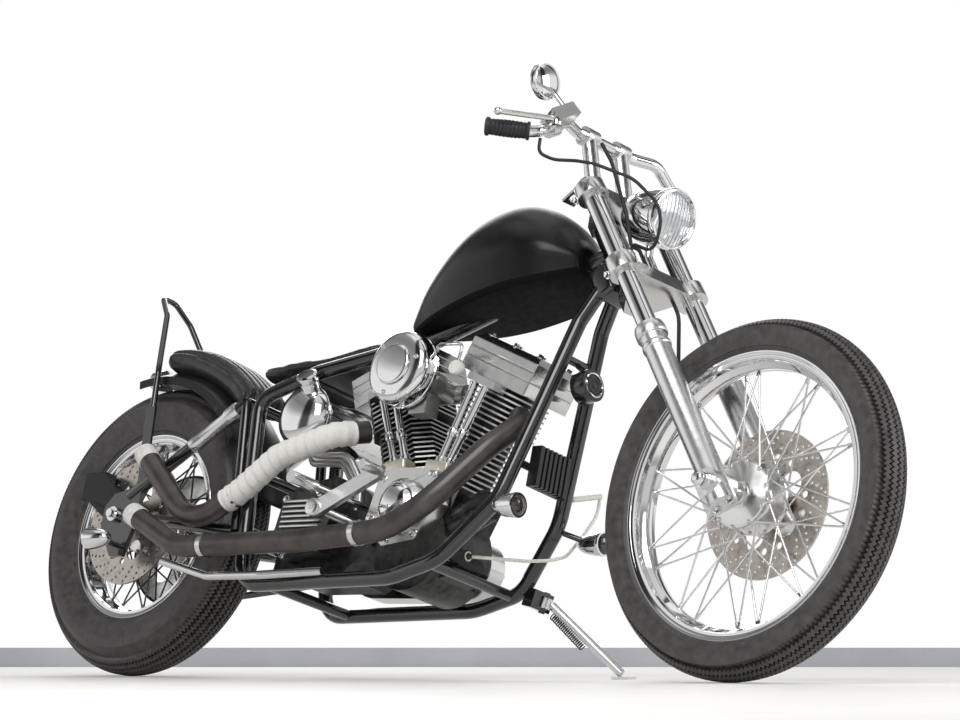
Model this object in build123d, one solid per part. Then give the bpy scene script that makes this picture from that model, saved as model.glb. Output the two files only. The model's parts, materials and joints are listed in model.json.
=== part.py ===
"""Chopper motorcycle parked on its side stand, as separate pieces on five bodies.

Each piece is drawn on the upright machine: X forward from the rear axle, Y to the
left, Z up from the ground line, in millimetres. The front end is then turned a
little to the right about the steering head, the whole machine leans to the left
onto its stand, and the origin moves to the middle of its footprint.
"""
import math
import os
from collections import namedtuple

from build123d import *

# Stance
LEAN = 14.7                # degrees to the left, resting on the stand
STEER = -4.5               # degrees, parked with the bars slightly to the right
RAKE = 34.0                # steering head from the vertical
NECK_Z = 900.0             # height where the neck is placed
FORK_OFFSET = 58.0         # fork legs ahead of the steering axis, square to it

# Fits
SEAT_GAP = 0.3             # between pieces that seat on or in each other
PIN_GAP = 0.3              # between a pin or shaft and what turns on it
RUN_GAP = 6.0              # between a moving piece and what it passes

# Tyres and rims
Wheel = namedtuple("Wheel", "tyre_r crown_r half_width flange_r rim_half seat_drop hub_half "
                            "hub_flange_r hub_flange_y barrel_r disc_y")
FRONT = Wheel(350.0, 44.0, 46.0, 281.0, 33.0, 14.0, 46.0, 66.0, 30.0, 27.0, 46.0)
REAR = Wheel(337.0, 65.0, 65.0, 217.5, 45.0, 14.0, 70.0, 62.0, 38.0, 34.0, -70.0)
CROWN_SWEEP = 40.0         # degrees of round tread each side of the centre line
RIM_WALL = 4.0
RIM_LEDGE = 15.0           # bead seat, from the rim's edge to the drop
WELL_HALF = 9.0
WELL_DROP = 12.0
AXLE_R = 9.5
SPOKES_PER_FLANGE = 20
SPOKE_R = 2.0
SPOKE_HOLD = 3.0           # length of a spoke's end inside its flange and rim
SPOKE_LEAD = 45.0          # degrees that a spoke runs on from flange to rim
FLANGE_WALL = 7.0
DISC_R = 146.0
DISC_WALL = 5.0
DISC_BAND = 42.0           # braking band, from the edge inwards
DISC_WINDOWS = 5

# Front end, measured in the fork's own axes: z along the steering axis
LEG_Y = 102.0
TUBE_R = 20.5
TUBE_TOP = 795.0
SLIDER_R = 27.0
SLIDER_TOP = 393.0
SLIDER_FOOT = -46.0
SLIDER_SOCKET = 170.0
LUG_IN = 34.0
LUG_OUT = 29.0
CAP_R = 30.0
CAP_LENGTH = 26.0
CLAMP_WALL = 12.0
LOWER_CLAMP_Z = 541.0
LOWER_CLAMP_HEIGHT = 36.0
TOP_CLAMP_Z = 752.0
TOP_CLAMP_HEIGHT = 30.0
STEM_R = 16.0
NECK_R = 29.0
NECK_GAP = 6.0             # bearing gap between the neck and each clamp

# Frame tubes
RAIL_R = 16.0
RAIL_Y = 130.0
BACKBONE_R = 20.0
ARM_R = 14.0
ARM_Y = 122.0

# Engine
CRANK_X = 878.0
CRANK_Z = 265.0
V_HALF_ANGLE = 22.5
DECK = 150.0               # crank axis to the foot of each barrel
BARREL = 140.0
HEAD = 84.0
ROCKER = 84.0
ROCKER_LONG = 206.0
FIN_PITCH = 11.5
FIN_WALL = 4.0
FIN_GAP = 3.0               # each barrel's fins from the middle of the V
FIN_HALF_LONG = 72.0
FIN_HALF_WIDE = 68.0
HEAD_HALF_LONG = 88.0
HEAD_HALF_WIDE = 66.0
FIN_CUT = 30.0
CORE_R = 50.0
v_half = math.radians(V_HALF_ANGLE)
rocker_front = CRANK_X + (DECK + BARREL + HEAD) * math.sin(v_half) + ROCKER_LONG / 2 * math.cos(v_half)
NECK_AHEAD = 122.7         # steering axis ahead of the front rocker box, at the neck height
NECK_X = rocker_front + NECK_AHEAD
PIPE_R = 24.0
PIPE_WALL = 3.0


def revolved(outline):
    """Solid of revolution about the Y axis from (radius, side) points."""
    return revolve(make_face(Polyline(*outline, close=True)), Axis.Y)


def rod(start, end, radius):
    """Round bar between two points."""
    reach = Vector(*end) - Vector(*start)
    base = Plane(Vector(*start), z_dir=reach)
    return base * Cylinder(radius, reach.length, align=(Align.CENTER, Align.CENTER, Align.MIN))


def bent_tube(points, bends, radius):
    """Round bar along straight runs joined by arcs."""
    path = FilletPolyline(*points, radius=bends)
    return sweep(Plane(path @ 0, z_dir=path % 0) * Circle(radius), path=path)


def cable(points, radius, most_bend):
    """Round line along a path, each corner bent as widely as its two runs allow."""
    path = [Vector(*p) for p in points]
    bends = []
    for before, corner, after in zip(path, path[1:], path[2:]):
        half_turn = math.radians((corner - before).get_angle(after - corner)) / 2
        room = 0.45 * min((corner - before).length, (after - corner).length)
        bends.append(min(most_bend, room / math.tan(half_turn)))
    return bent_tube(path, bends, radius)


def across(x, z, radius, low, high):
    """Cylinder lying across the machine from side low to side high."""
    return Pos(x, low, z) * Rot(-90, 0, 0) * Cylinder(
        radius, high - low, align=(Align.CENTER, Align.CENTER, Align.MIN))


def point_in(axes, x, y, z):
    """Point given in some axes, in the axes that hold them."""
    return (axes * Pos(x, y, z)).position


def side_plate(outline, low, high):
    """Plate cut to an (x, z) outline, from side low to side high."""
    face = make_face(Polyline(*[(x, 0, z) for x, z in outline], close=True))
    return Pos(0, high, 0) * extrude(face, amount=high - low, dir=(0, -1, 0))


def both_sides(shape):
    """The piece and its mirror image on the other side."""
    return shape + mirror(shape, about=Plane.XZ)


def axle_height(wheel, axle_up):
    """Height of an axle over the floor, for the rise of the axle's own direction."""
    return (wheel.tyre_r - wheel.crown_r) * math.sqrt(1 - axle_up ** 2) + wheel.crown_r


# Parked place of the machine, and where the two axles come
lean = math.radians(LEAN)
steer = math.radians(STEER)
rake = math.radians(RAKE)
LEANED = Rot(-LEAN, 0, 0)
REAR_AXLE_Z = axle_height(REAR, math.sin(lean)) / math.cos(lean)
rear_centre = Vector(0, 0, REAR_AXLE_Z)


def steering_axis(height):
    """Point of the steering axis at a height over the ground line."""
    return Vector(NECK_X - (height - NECK_Z) * math.tan(rake), 0, height)


def fork_foot_height():
    """Height of the fork's origin that lets the turned, leaning tyre just touch the floor."""
    axle = Vector(-math.cos(rake) * math.sin(steer), math.cos(steer), -math.sin(rake) * math.sin(steer))
    axle_up = -axle.Y * math.sin(lean) + axle.Z * math.cos(lean)
    offset_z = FORK_OFFSET * math.cos(steer) * math.sin(rake)
    offset_y = FORK_OFFSET * math.sin(steer)
    height = axle_height(FRONT, axle_up)
    return (height + offset_y * math.sin(lean)) / math.cos(lean) - offset_z


fork_origin = steering_axis(fork_foot_height())
FORK = Pos(fork_origin) * Rot(0, -RAKE, 0)
STEERED = FORK * Rot(0, 0, STEER)


def tyre(wheel):
    """Tyre seated on its rim: round tread, flat shoulders and side walls."""
    sweep_angle = math.radians(CROWN_SWEEP)
    centre = wheel.tyre_r - wheel.crown_r
    shoulder_r = centre + wheel.crown_r * math.cos(sweep_angle)
    shoulder_y = wheel.crown_r * math.sin(sweep_angle)
    widest_r = (wheel.tyre_r + wheel.flange_r) / 2 - SEAT_GAP
    lip_r = wheel.flange_r + SEAT_GAP
    bead_y = wheel.rim_half - RIM_WALL - SEAT_GAP
    bead_r = wheel.flange_r - wheel.seat_drop + SEAT_GAP
    right = [(widest_r, wheel.half_width), (lip_r, wheel.rim_half), (lip_r, bead_y), (bead_r, bead_y)]
    left = [(r, -y) for r, y in reversed(right)]
    crown = ThreePointArc((shoulder_r, -shoulder_y), (wheel.tyre_r, 0), (shoulder_r, shoulder_y))
    walls = Polyline((shoulder_r, shoulder_y), *right, *left, (shoulder_r, -shoulder_y))
    return revolve(make_face([crown, walls]), Axis.Y)


def rim(wheel):
    """Steel rim: two flanges, two bead seats and a drop centre."""
    seat_r = wheel.flange_r - wheel.seat_drop
    well_r = seat_r - WELL_DROP
    edge = wheel.rim_half
    ledge = edge - RIM_LEDGE
    outer = [(wheel.flange_r, edge), (wheel.flange_r, edge - RIM_WALL), (seat_r, edge - RIM_WALL),
             (seat_r, ledge), (well_r, WELL_HALF)]
    inner = [(well_r - RIM_WALL, WELL_HALF - 1), (seat_r - RIM_WALL, ledge - 1), (seat_r - RIM_WALL, edge)]
    outline = outer + [(r, -y) for r, y in reversed(outer)]
    outline += [(r, -y) for r, y in reversed(inner)] + inner
    return revolved(outline)


def hub(wheel):
    """Spool hub: barrel, two spoke flanges and a boss out to each bearing."""
    bore = AXLE_R + PIN_GAP
    boss_r = wheel.barrel_r - 4
    outer = [(boss_r, wheel.hub_half), (boss_r, wheel.hub_flange_y + FLANGE_WALL / 2),
             (wheel.hub_flange_r, wheel.hub_flange_y + FLANGE_WALL / 2),
             (wheel.hub_flange_r, wheel.hub_flange_y - FLANGE_WALL / 2),
             (wheel.barrel_r, wheel.hub_flange_y - FLANGE_WALL / 2)]
    outline = [(bore, wheel.hub_half)] + outer + [(r, -y) for r, y in reversed(outer)] + [(bore, -wheel.hub_half)]
    return revolved(outline)


def spokes(wheel):
    """Crossed wire spokes, leading ones outside each flange and trailing ones inside it."""
    root_r = wheel.hub_flange_r - SPOKE_HOLD
    tip_r = wheel.flange_r - wheel.seat_drop - WELL_DROP - RIM_WALL + SPOKE_HOLD
    wires = []
    for side in (-1, 1):
        for number in range(SPOKES_PER_FLANGE):
            leading = 1 if number % 2 else -1
            root = math.radians((number + side / 4) * 360 / SPOKES_PER_FLANGE)
            tip = root + leading * math.radians(SPOKE_LEAD)
            root_y = side * (wheel.hub_flange_y + leading * FLANGE_WALL / 2)
            start = (root_r * math.cos(root), root_y, root_r * math.sin(root))
            end = (tip_r * math.cos(tip), side * WELL_HALF / 2, tip_r * math.sin(tip))
            wires.append(rod(start, end, SPOKE_R))
    return Compound(wires)


def brake_disc(wheel):
    """Brake disc bolted to the hub's end: a band on a carrier with windows."""
    side = math.copysign(1, wheel.disc_y)
    low = wheel.disc_y if side > 0 else wheel.disc_y - DISC_WALL
    carrier_r = DISC_R - DISC_BAND
    plate = across(0, 0, DISC_R, low, low + DISC_WALL) - across(0, 0, AXLE_R + PIN_GAP + 4, low - 1, low + DISC_WALL + 1)
    window = across((carrier_r + wheel.barrel_r) / 2, 0, (carrier_r - wheel.barrel_r) / 3, low - 1, low + DISC_WALL + 1)
    for number in range(DISC_WINDOWS):
        plate -= Rot(0, number * 360 / DISC_WINDOWS, 0) * window
    return plate


# Rear belt pulley, gearbox pulley and the belt between them, on the left
PULLEY_R = 150.0
PULLEY_LOW_Y = 74.0
BELT_WIDTH = 28.0
BELT_WALL = 5.0
BELT_GAP = 0.6
PULLEY_WINDOWS = 6
OUTPUT_X = 560.0
OUTPUT_Z = 300.0
OUTPUT_R = 58.0
belt_high_y = PULLEY_LOW_Y + BELT_WIDTH


def rear_pulley():
    """Toothed pulley on the left end of the rear hub, with round windows."""
    plate = across(0, 0, PULLEY_R, PULLEY_LOW_Y, belt_high_y)
    plate -= across(0, 0, PULLEY_R - 22, PULLEY_LOW_Y + 8, belt_high_y + 1)
    plate += across(0, 0, REAR.barrel_r, REAR.hub_half, belt_high_y)
    plate -= across(0, 0, AXLE_R + PIN_GAP, REAR.hub_half - 1, belt_high_y + 1)
    for number in range(PULLEY_WINDOWS):
        plate -= Rot(0, number * 360 / PULLEY_WINDOWS, 0) * across(82, 0, 28, PULLEY_LOW_Y - 1, belt_high_y)
    return plate


def loop_outline(big_r, small_r):
    """Closed outline round both pulleys, in the plane across their shafts."""
    big = Pos(0, REAR_AXLE_Z) * Circle(big_r)
    small = Pos(OUTPUT_X, OUTPUT_Z) * Circle(small_r)
    return make_hull([*big.edges(), *small.edges()])


def drive_belt():
    """Final drive belt as one fixed loop."""
    inner = BELT_GAP
    ring = loop_outline(PULLEY_R + inner + BELT_WALL, OUTPUT_R + inner + BELT_WALL)
    ring -= loop_outline(PULLEY_R + inner, OUTPUT_R + inner)
    return Pos(0, belt_high_y, 0) * Rot(90, 0, 0) * extrude(ring, BELT_WIDTH)


# Frame: each side is one long tube from the neck down, back under the engine and up to the seat
NECK_LOW = LOWER_CLAMP_Z + LOWER_CLAMP_HEIGHT + NECK_GAP
NECK_HIGH = TOP_CLAMP_Z - NECK_GAP
RAIL_POINTS = [(NECK_X - 215, 214), (900, 178), (462, 168)]     # lower rail from front to rear, x and z
SIDE_PATH = [(NECK_X + 1, 22, 812), (NECK_X - 34, 36, 735), (NECK_X - 115, 96, 345),
             *[(x, RAIL_Y, z) for x, z in RAIL_POINTS],
             (446, 128, 250), (402, 126, 590), (540, 98, 652), (748, 10, 733)]
SIDE_BENDS = [60, 120, 90, 200, 60, 60, 45, 90]
BACKBONE_FRONT = (NECK_X - 17, 0, 888)
BACKBONE_REAR = (740, 0, 731)
OIL_TANK_X = 530.0
OIL_TANK_Z = 548.0
OIL_TANK_R = 72.0
OIL_TANK_HALF = 118.0
CROSS_R = RAIL_R - 4
HORN_BAR_X = NECK_X - 56
HORN_BAR_Z = 660.0
HORN_BAR_R = 9.0
CROSS_X = [540, 1000]      # cross tubes between the lower rails


def rail_height(x):
    """Height of the lower rails' middle line at some length along the machine."""
    pairs = zip(RAIL_POINTS, RAIL_POINTS[1:])
    (front_x, front_z), (rear_x, rear_z) = next(pair for pair in pairs if pair[1][0] <= x)
    return rear_z + (front_z - rear_z) * (x - rear_x) / (front_x - rear_x)


def frame():
    """Welded tube frame with neck, backbone, two side loops, cross tubes and stand bracket."""
    side = bent_tube(SIDE_PATH, SIDE_BENDS, RAIL_R)
    shape = both_sides(side)
    shape += rod(BACKBONE_FRONT, BACKBONE_REAR, BACKBONE_R)
    shape += FORK * Pos(0, 0, NECK_LOW) * Cylinder(
        NECK_R, NECK_HIGH - NECK_LOW, align=(Align.CENTER, Align.CENTER, Align.MIN))
    for x in CROSS_X:
        shape += across(x, rail_height(x), CROSS_R, -RAIL_Y, RAIL_Y)
    shape += across(424, 420, CROSS_R, -127, 127)
    shape += across(HORN_BAR_X, HORN_BAR_Z, HORN_BAR_R, -46, 46)
    shape += across(OIL_TANK_X, OIL_TANK_Z + OIL_TANK_R + SEAT_GAP + 9, 9, -100, 100)
    shape += stand_bracket()
    bore = FORK * Pos(0, 0, NECK_LOW - 1) * Cylinder(
        STEM_R + PIN_GAP, NECK_HIGH - NECK_LOW + 2, align=(Align.CENTER, Align.CENTER, Align.MIN))
    return shape - bore


# Side stand: a leg on a nearly upright pin beside the left rail, swung forward onto its stop
STAND_PIVOT = (1052.0, 172.0, 205.0)
STAND_REACH = (165.0, 92.0)            # foot ahead of and outside the pivot
STAND_AXIS_TILT = 11.0                 # degrees that the pin leans forward
STAND_PIN_R = 7.0
STAND_EYE_R = 16.0
STAND_EYE_HEIGHT = 22.0
STAND_LEG_R = 9.0
STAND_FOLD = 146.0                     # degrees from parked to folded back
STAND_FOOT = (44.0, 26.0, 6.0)         # length, width and thickness of the foot plate
BRACKET_WALL = 8.0
STAND = Pos(*STAND_PIVOT) * Rot(0, STAND_AXIS_TILT, 0)


def stand_bracket():
    """Fork bracket and pin on the left rail that carry the stand."""
    half = STAND_EYE_HEIGHT / 2 + PIN_GAP
    ear = Pos(0, -21, half) * Box(26, 60, BRACKET_WALL, align=(Align.CENTER, Align.CENTER, Align.MIN))
    ears = ear + mirror(ear, about=Plane.XY)
    web = Pos(0, -40, 0) * Box(26, 22, 2 * half + 2 * BRACKET_WALL)
    pin = Cylinder(STAND_PIN_R, 2 * half + 2 * BRACKET_WALL + 6)
    return STAND * (ears + web + pin)


def side_stand():
    """Stand: eye on the pin, bent leg and a foot plate flat on the floor."""
    foot_x = STAND_PIVOT[0] + STAND_REACH[0]
    foot_y = STAND_PIVOT[1] + STAND_REACH[1]
    floor = LEANED.inverse()
    foot_floor = point_in(LEANED, foot_x, foot_y, foot_y * math.tan(lean))
    sole = floor * Pos(foot_floor.X, foot_floor.Y, 0)
    plate = sole * Box(*STAND_FOOT, align=(Align.CENTER, Align.CENTER, Align.MIN))
    eye = STAND * (Cylinder(STAND_EYE_R, STAND_EYE_HEIGHT) - Cylinder(STAND_PIN_R + PIN_GAP, STAND_EYE_HEIGHT + 2))
    shank = point_in(STAND, STAND_EYE_R - 2, 8, 0)
    ankle = point_in(sole, -6, 0, STAND_LEG_R + 2)
    leg = rod(shank, ankle, STAND_LEG_R)
    return eye + leg + plate


# Rear arm, fender, seat and what they carry
ARM_PIVOT = (402.0, 292.0)
ARM_PIVOT_R = 20.0
ARM_TOP = (356.0, 586.0)
ARM_PLATE_WALL = 12.0
REAR_AXLE_HALF = 150.0
AXLE_NUT_R = 17.0
AXLE_NUT_WALL = 12.0


def swingarm():
    """Triangulated rear arm: two tubes a side to an axle plate, joined across at pivot and top."""
    tail = AXLE_NUT_R + ARM_R
    lower = rod((ARM_PIVOT[0], ARM_Y, ARM_PIVOT[1]), (tail, ARM_Y, REAR_AXLE_Z - 4), ARM_R)
    upper = rod((ARM_TOP[0], ARM_Y, ARM_TOP[1]), (tail, ARM_Y, REAR_AXLE_Z + 44), ARM_R)
    upright = rod((ARM_TOP[0], ARM_Y, ARM_TOP[1]), (ARM_PIVOT[0], ARM_Y, ARM_PIVOT[1]), ARM_R - 2)
    plate = side_plate([(-44, REAR_AXLE_Z - 26), (6, REAR_AXLE_Z - 96), (46, REAR_AXLE_Z - 96), (70, REAR_AXLE_Z - 14),
                        (70, REAR_AXLE_Z + 70), (-20, REAR_AXLE_Z + 50), (-44, REAR_AXLE_Z + 20)],
                       ARM_Y - ARM_PLATE_WALL / 2, ARM_Y + ARM_PLATE_WALL / 2)
    side = lower + upper + upright + plate - across(0, REAR_AXLE_Z, AXLE_R + SEAT_GAP, ARM_Y - 30, ARM_Y + 30)
    shape = both_sides(side) + across(*ARM_PIVOT, ARM_PIVOT_R, -ARM_Y, ARM_Y)
    return shape + across(*ARM_TOP, ARM_R - 2, -ARM_Y, ARM_Y)


FENDER_GAP = 15.0          # inside of the fender over the tread
FENDER_R = REAR.tyre_r + FENDER_GAP
FENDER_WALL = 3.0
FENDER_HALF = 84.0
FENDER_SKIRT = 26.0
FENDER_FROM = 8.0          # degrees over the forward horizontal
FENDER_TO = 102.0
BELT_NOTCH = (345.0, 86.0, 415.0)      # room in the left skirt for the belt
BELT_NOTCH_SIZE = (90.0, 40.0, 80.0)


def about_rear_axle(outline, start, end):
    """Turn a (radius, side) outline about the rear axle from one angle to another."""
    face = make_face(Polyline(*outline, close=True))
    turned = revolve(face, Axis.Y, revolution_arc=end - start)
    return Pos(rear_centre) * Rot(0, -end, 0) * turned


def rear_fender():
    """Rolled steel fender close over the rear tyre."""
    top = FENDER_R + FENDER_WALL
    rim_r = FENDER_R - FENDER_SKIRT
    crown = FENDER_HALF * 0.6
    outer = [(rim_r, FENDER_HALF), (top - 10, FENDER_HALF), (top + 8, crown)]
    inner = [(FENDER_R + 8, crown - 1), (FENDER_R - 12, FENDER_HALF - FENDER_WALL), (rim_r, FENDER_HALF - FENDER_WALL)]
    outline = outer + [(r, -y) for r, y in reversed(outer)] + [(r, -y) for r, y in reversed(inner)] + inner
    shape = about_rear_axle(outline, FENDER_FROM, FENDER_TO)
    notch = Pos(*BELT_NOTCH) * Box(*BELT_NOTCH_SIZE)
    return shape - notch


PAD_FROM = 44.0
PAD_TO = 92.0
PAD_HALF = 78.0
PAD_HEIGHT = 62.0


def pillion_pad():
    """Plain body of the rear cushion, curved to the fender's top."""
    low = FENDER_R + FENDER_WALL + 8 + SEAT_GAP
    crown = FENDER_HALF * 0.6 - 2
    high = low + PAD_HEIGHT
    outline = [(low, crown), (low + 14, PAD_HALF), (high - 22, PAD_HALF), (high, PAD_HALF * 0.6)]
    outline += [(r, -y) for r, y in reversed(outline)]
    return about_rear_axle(outline, PAD_FROM, PAD_TO)


SEAT_SECTIONS = [          # x, half width, underside, top
    (338, 88, 652, 684),
    (430, 112, 654, 684),
    (540, 92, 669.5, 700),
    (650, 38, 720.5, 748),
]


def seat():
    """Plain body of the thin solo seat."""
    faces = []
    for x, half, low, high in SEAT_SECTIONS:
        outline = Polyline((x, -half, low), (x, half, low), (x, half * 0.86, high), (x, -half * 0.86, high), close=True)
        faces.append(make_face(outline))
    return loft(faces, ruled=True)


SISSY_SIDE = [(24, 104, 560), (0, 96, 700), (-82, 38, 858), (-132, 20, 912)]
SISSY_PATH = SISSY_SIDE + [(x, -y, z) for x, y, z in reversed(SISSY_SIDE)]
SISSY_BENDS = [60, 60, 18, 18, 60, 60]
SISSY_R = 7.0


def sissy_bar():
    """Bent round bar behind the pillion pad, on a flat strut each side of the fender."""
    bar = bent_tube(SISSY_PATH, SISSY_BENDS, SISSY_R)
    strut = side_plate([(8, 600), (40, 600), (60, 416.5), (38, 402.8)], 109.7, 115.7)
    return bar + both_sides(strut)


# Fuel tank: sections from the rear tip to the front
TANK_TAIL_X = 722.0
TANK_NECK_GAP = 49.0       # front end behind the steering axis
TANK_SECTIONS = [          # share of the length from the tail, half width, underside, widest height, top
    (0.0, 26, 752, 766, 790),
    (0.167, 78, 756, 800, 893),
    (0.423, 122, 772, 850, 990),
    (0.669, 132, 795, 876, 1012),
    (0.872, 112, 815, 882, 966),
    (1.0, 62, 842, 874, 898),
]
TANK_FLOOR = 0.8           # width of the underside against the widest
TUNNEL_HALF = BACKBONE_R + RUN_GAP


def fuel_tank():
    """Teardrop tank that straddles the backbone."""
    faces = []
    length = NECK_X - TANK_NECK_GAP - TANK_TAIL_X
    for share, half, low, middle, high in TANK_SECTIONS:
        x = TANK_TAIL_X + share * length
        floor_half = half * TANK_FLOOR
        top = ThreePointArc((x, half, middle), (x, 0, high), (x, -half, middle))
        sides = Polyline((x, -half, middle), (x, -floor_half, low), (x, floor_half, low), (x, half, middle))
        faces.append(make_face([top, sides]))
    body = loft(faces)
    run = Vector(*BACKBONE_FRONT) - Vector(*BACKBONE_REAR)
    tunnel = Plane(Vector(*BACKBONE_REAR), z_dir=run, x_dir=(0, 1, 0)) * Pos(0, BACKBONE_R + SEAT_GAP, -TUNNEL_HALF)
    slot = tunnel * Box(2 * TUNNEL_HALF, 200, run.length + 80, align=(Align.CENTER, Align.MAX, Align.MIN))
    return body - slot


# Engine, gearbox and primary drive
def cylinder_axes(sign):
    """Axes of one barrel: origin at the crank, z up the bore."""
    return Pos(CRANK_X, 0, CRANK_Z) * Rot(0, sign * V_HALF_ANGLE, 0)


CASE_R = 98.0
CASE_HALF = 74.0
CASE_STUB = 60.0


ENGINE_LUG_HALF = 46.0
FILTER_FROM = (950.0, -34.0, 306.0)
FILTER_TO = (1052.0, -42.0, 352.0)
FILTER_R = 34.0


def engine_case():
    """Crankcase with its two barrel decks and its mount on the frame's front cross tube."""
    shape = across(CRANK_X, CRANK_Z, CASE_R, -CASE_HALF, CASE_HALF)
    for sign in (-1, 1):
        stub = Box(2 * CASE_STUB, 2 * CASE_HALF - 8, DECK, align=(Align.CENTER, Align.CENTER, Align.MIN))
        shape += cylinder_axes(sign) * stub
    mount_x = CROSS_X[1]
    mount_z = rail_height(mount_x)
    lug = side_plate([(mount_x - 80, 262), (mount_x - 30, 268), (mount_x + 2, mount_z + 20), (mount_x - 14, mount_z),
                      (mount_x - 70, mount_z - 14)], -ENGINE_LUG_HALF, ENGINE_LUG_HALF)
    shape += rod(FILTER_FROM, FILTER_TO, FILTER_R)
    return shape + lug - across(mount_x, mount_z, CROSS_R + SEAT_GAP, -CASE_HALF, CASE_HALF)


def finned(base, height, long_half, wide_half):
    """Round core with flat cut-cornered fins along it, shorter where the two barrels come close."""
    shape = Cylinder(CORE_R, height, align=(Align.CENTER, Align.CENTER, Align.MIN))
    for number in range(int(height // FIN_PITCH)):
        level = height - (number + 1) * FIN_PITCH
        room = (base + level) * math.tan(math.radians(V_HALF_ANGLE)) - FIN_GAP
        plate = chamfer(Rectangle(2 * min(long_half, room), 2 * wide_half).vertices(), FIN_CUT)
        shape += Pos(0, 0, level) * extrude(plate, FIN_WALL)
    return shape


def barrel(sign):
    """Finned cylinder barrel standing on its deck."""
    return cylinder_axes(sign) * Pos(0, 0, DECK) * finned(DECK, BARREL, FIN_HALF_LONG, FIN_HALF_WIDE)


PUSHROD_BOSS = (84.0, 34.0, 16.0)
PUSHROD_BOSS_Y = -94.0


def head(sign):
    """Finned cylinder head with the boss that takes the pushrod tubes."""
    base = DECK + BARREL
    boss = Pos(0, PUSHROD_BOSS_Y, HEAD) * Box(*PUSHROD_BOSS, align=(Align.CENTER, Align.MIN, Align.MAX))
    return cylinder_axes(sign) * Pos(0, 0, base) * (finned(base, HEAD, HEAD_HALF_LONG, HEAD_HALF_WIDE) + boss)


ROCKER_WIDE = 138.0
ROCKER_LAYERS = [(28.0, 0.0), (2.0, 2.5), (20.0, 0.0), (2.0, 2.5), (32.0, 0.0)]     # height, inset
ROCKER_BEVEL = 14.0


def rocker_box(sign):
    """Three stacked rocker covers with open seams and a bevelled lid."""
    level = 0
    stack = None
    for height, inset in ROCKER_LAYERS:
        layer = Pos(0, 0, level) * Box(ROCKER_LONG - 2 * inset, ROCKER_WIDE - 2 * inset, height,
                                       align=(Align.CENTER, Align.CENTER, Align.MIN))
        level += height
        if level == ROCKER:
            layer = chamfer(layer.faces().sort_by(Axis.Z)[-1].edges(), ROCKER_BEVEL)
        stack = layer if stack is None else stack + layer
    return cylinder_axes(sign) * Pos(0, 0, DECK + BARREL + HEAD) * stack


PUSHROD_R = 9.0
PUSHRODS = [               # barrel sign, foot x, foot z, spread of the top along the barrel's long side
    (1, 938, 428, -24),
    (1, 962, 424, 10),
    (-1, 812, 430, -10),
    (-1, 842, 434, 24),
]
PUSHROD_Y = -88.0


def pushrod_tubes():
    """Four chromed pushrod tubes between the tappet blocks and the rocker boxes."""
    tubes = []
    for sign, foot_x, foot_z, spread in PUSHRODS:
        top = point_in(cylinder_axes(sign), spread, 0, DECK + BARREL + HEAD - PUSHROD_BOSS[2] - 1.2)
        tubes.append(rod((foot_x, PUSHROD_Y, foot_z), (top.X, PUSHROD_Y + 4, top.Z), PUSHROD_R))
    return Compound(tubes)


CAM_X = 874.0
CAM_Z = 352.0


def cam_cover():
    """Cam chest on the right of the crankcase, with its domed cover and both tappet blocks."""
    chest = side_plate([(780, 300), (800, 404), (838, 418), (960, 412), (972, 340), (930, 262), (840, 250)],
                       -CASE_HALF - 40, -CASE_HALF - SEAT_GAP)
    nose = across(CAM_X + 6, CAM_Z - 20, 58, -CASE_HALF - 62, -CASE_HALF - 40)
    nose = chamfer(nose.faces().sort_by(Axis.Y)[0].edges(), 10)
    return chest + nose


AIR_R = 80.0
AIR_X = 845.0
AIR_Z = 620.0
AIR_LOW_Y = -178.0
AIR_HIGH_Y = -128.0


def air_cleaner():
    """Round air cleaner with a raised plain lid."""
    shell = across(AIR_X, AIR_Z, AIR_R, AIR_LOW_Y, AIR_HIGH_Y)
    shell = chamfer(shell.faces().sort_by(Axis.Y)[0].edges(), 9)
    return shell + across(AIR_X, AIR_Z, AIR_R * 0.55, AIR_LOW_Y - 8, AIR_LOW_Y + 1)


CARB_R = 30.0
CARB_Z = 604.0
INTAKE_R = 20.0
INTAKE_Y = -20.0
CARB_OUT_Y = -76.0


def carburettor():
    """Carburettor behind the air cleaner, on an intake pipe between the two heads."""
    body = across(CRANK_X, CARB_Z, CARB_R, AIR_HIGH_Y + SEAT_GAP, CARB_OUT_Y)
    body += Pos(CRANK_X, (AIR_HIGH_Y + CARB_OUT_Y) / 2, CARB_Z - 50) * Box(46, 40, 46)
    body += across(CRANK_X, CARB_Z, INTAKE_R, CARB_OUT_Y, INTAKE_Y)
    angle = math.radians(V_HALF_ANGLE)
    rise = CARB_Z - INTAKE_R - CRANK_Z - HEAD_HALF_LONG * math.sin(angle)
    half = rise * math.tan(angle) - HEAD_HALF_LONG * math.cos(angle) - SEAT_GAP
    return body + rod((CRANK_X - half, INTAKE_Y, CARB_Z), (CRANK_X + half, INTAKE_Y, CARB_Z), INTAKE_R)


GEARBOX_HALF = 82.0


def gearbox():
    """Gearbox housing behind the crankcase with its ribbed end cover on the right."""
    case_back = CRANK_X - CASE_R - SEAT_GAP
    case = side_plate([(500, 214), (520, 396), (640, 418), (742, 380), (774, 352),
                       (case_back, 290), (case_back, 262), (752, 236), (700, 200), (520, 200)],
                      -GEARBOX_HALF, 68)
    cover = side_plate([(520, 250), (540, 366), (650, 380), (690, 330), (672, 240), (560, 224)],
                       -GEARBOX_HALF - 44, -GEARBOX_HALF)
    for number in range(5):
        cover += Pos(604, -GEARBOX_HALF - 44, 262 + number * 22) * Box(112, 10, 8)
    output = across(OUTPUT_X, OUTPUT_Z, OUTPUT_R, 68, belt_high_y)
    return case + cover + output


PRIMARY_LOW_Y = 112.0
PRIMARY_HIGH_Y = 172.0
CLUTCH_X = 622.0
CLUTCH_Z = 308.0
CLUTCH_R = 104.0
PRIMARY_FRONT_R = 65.0


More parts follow.
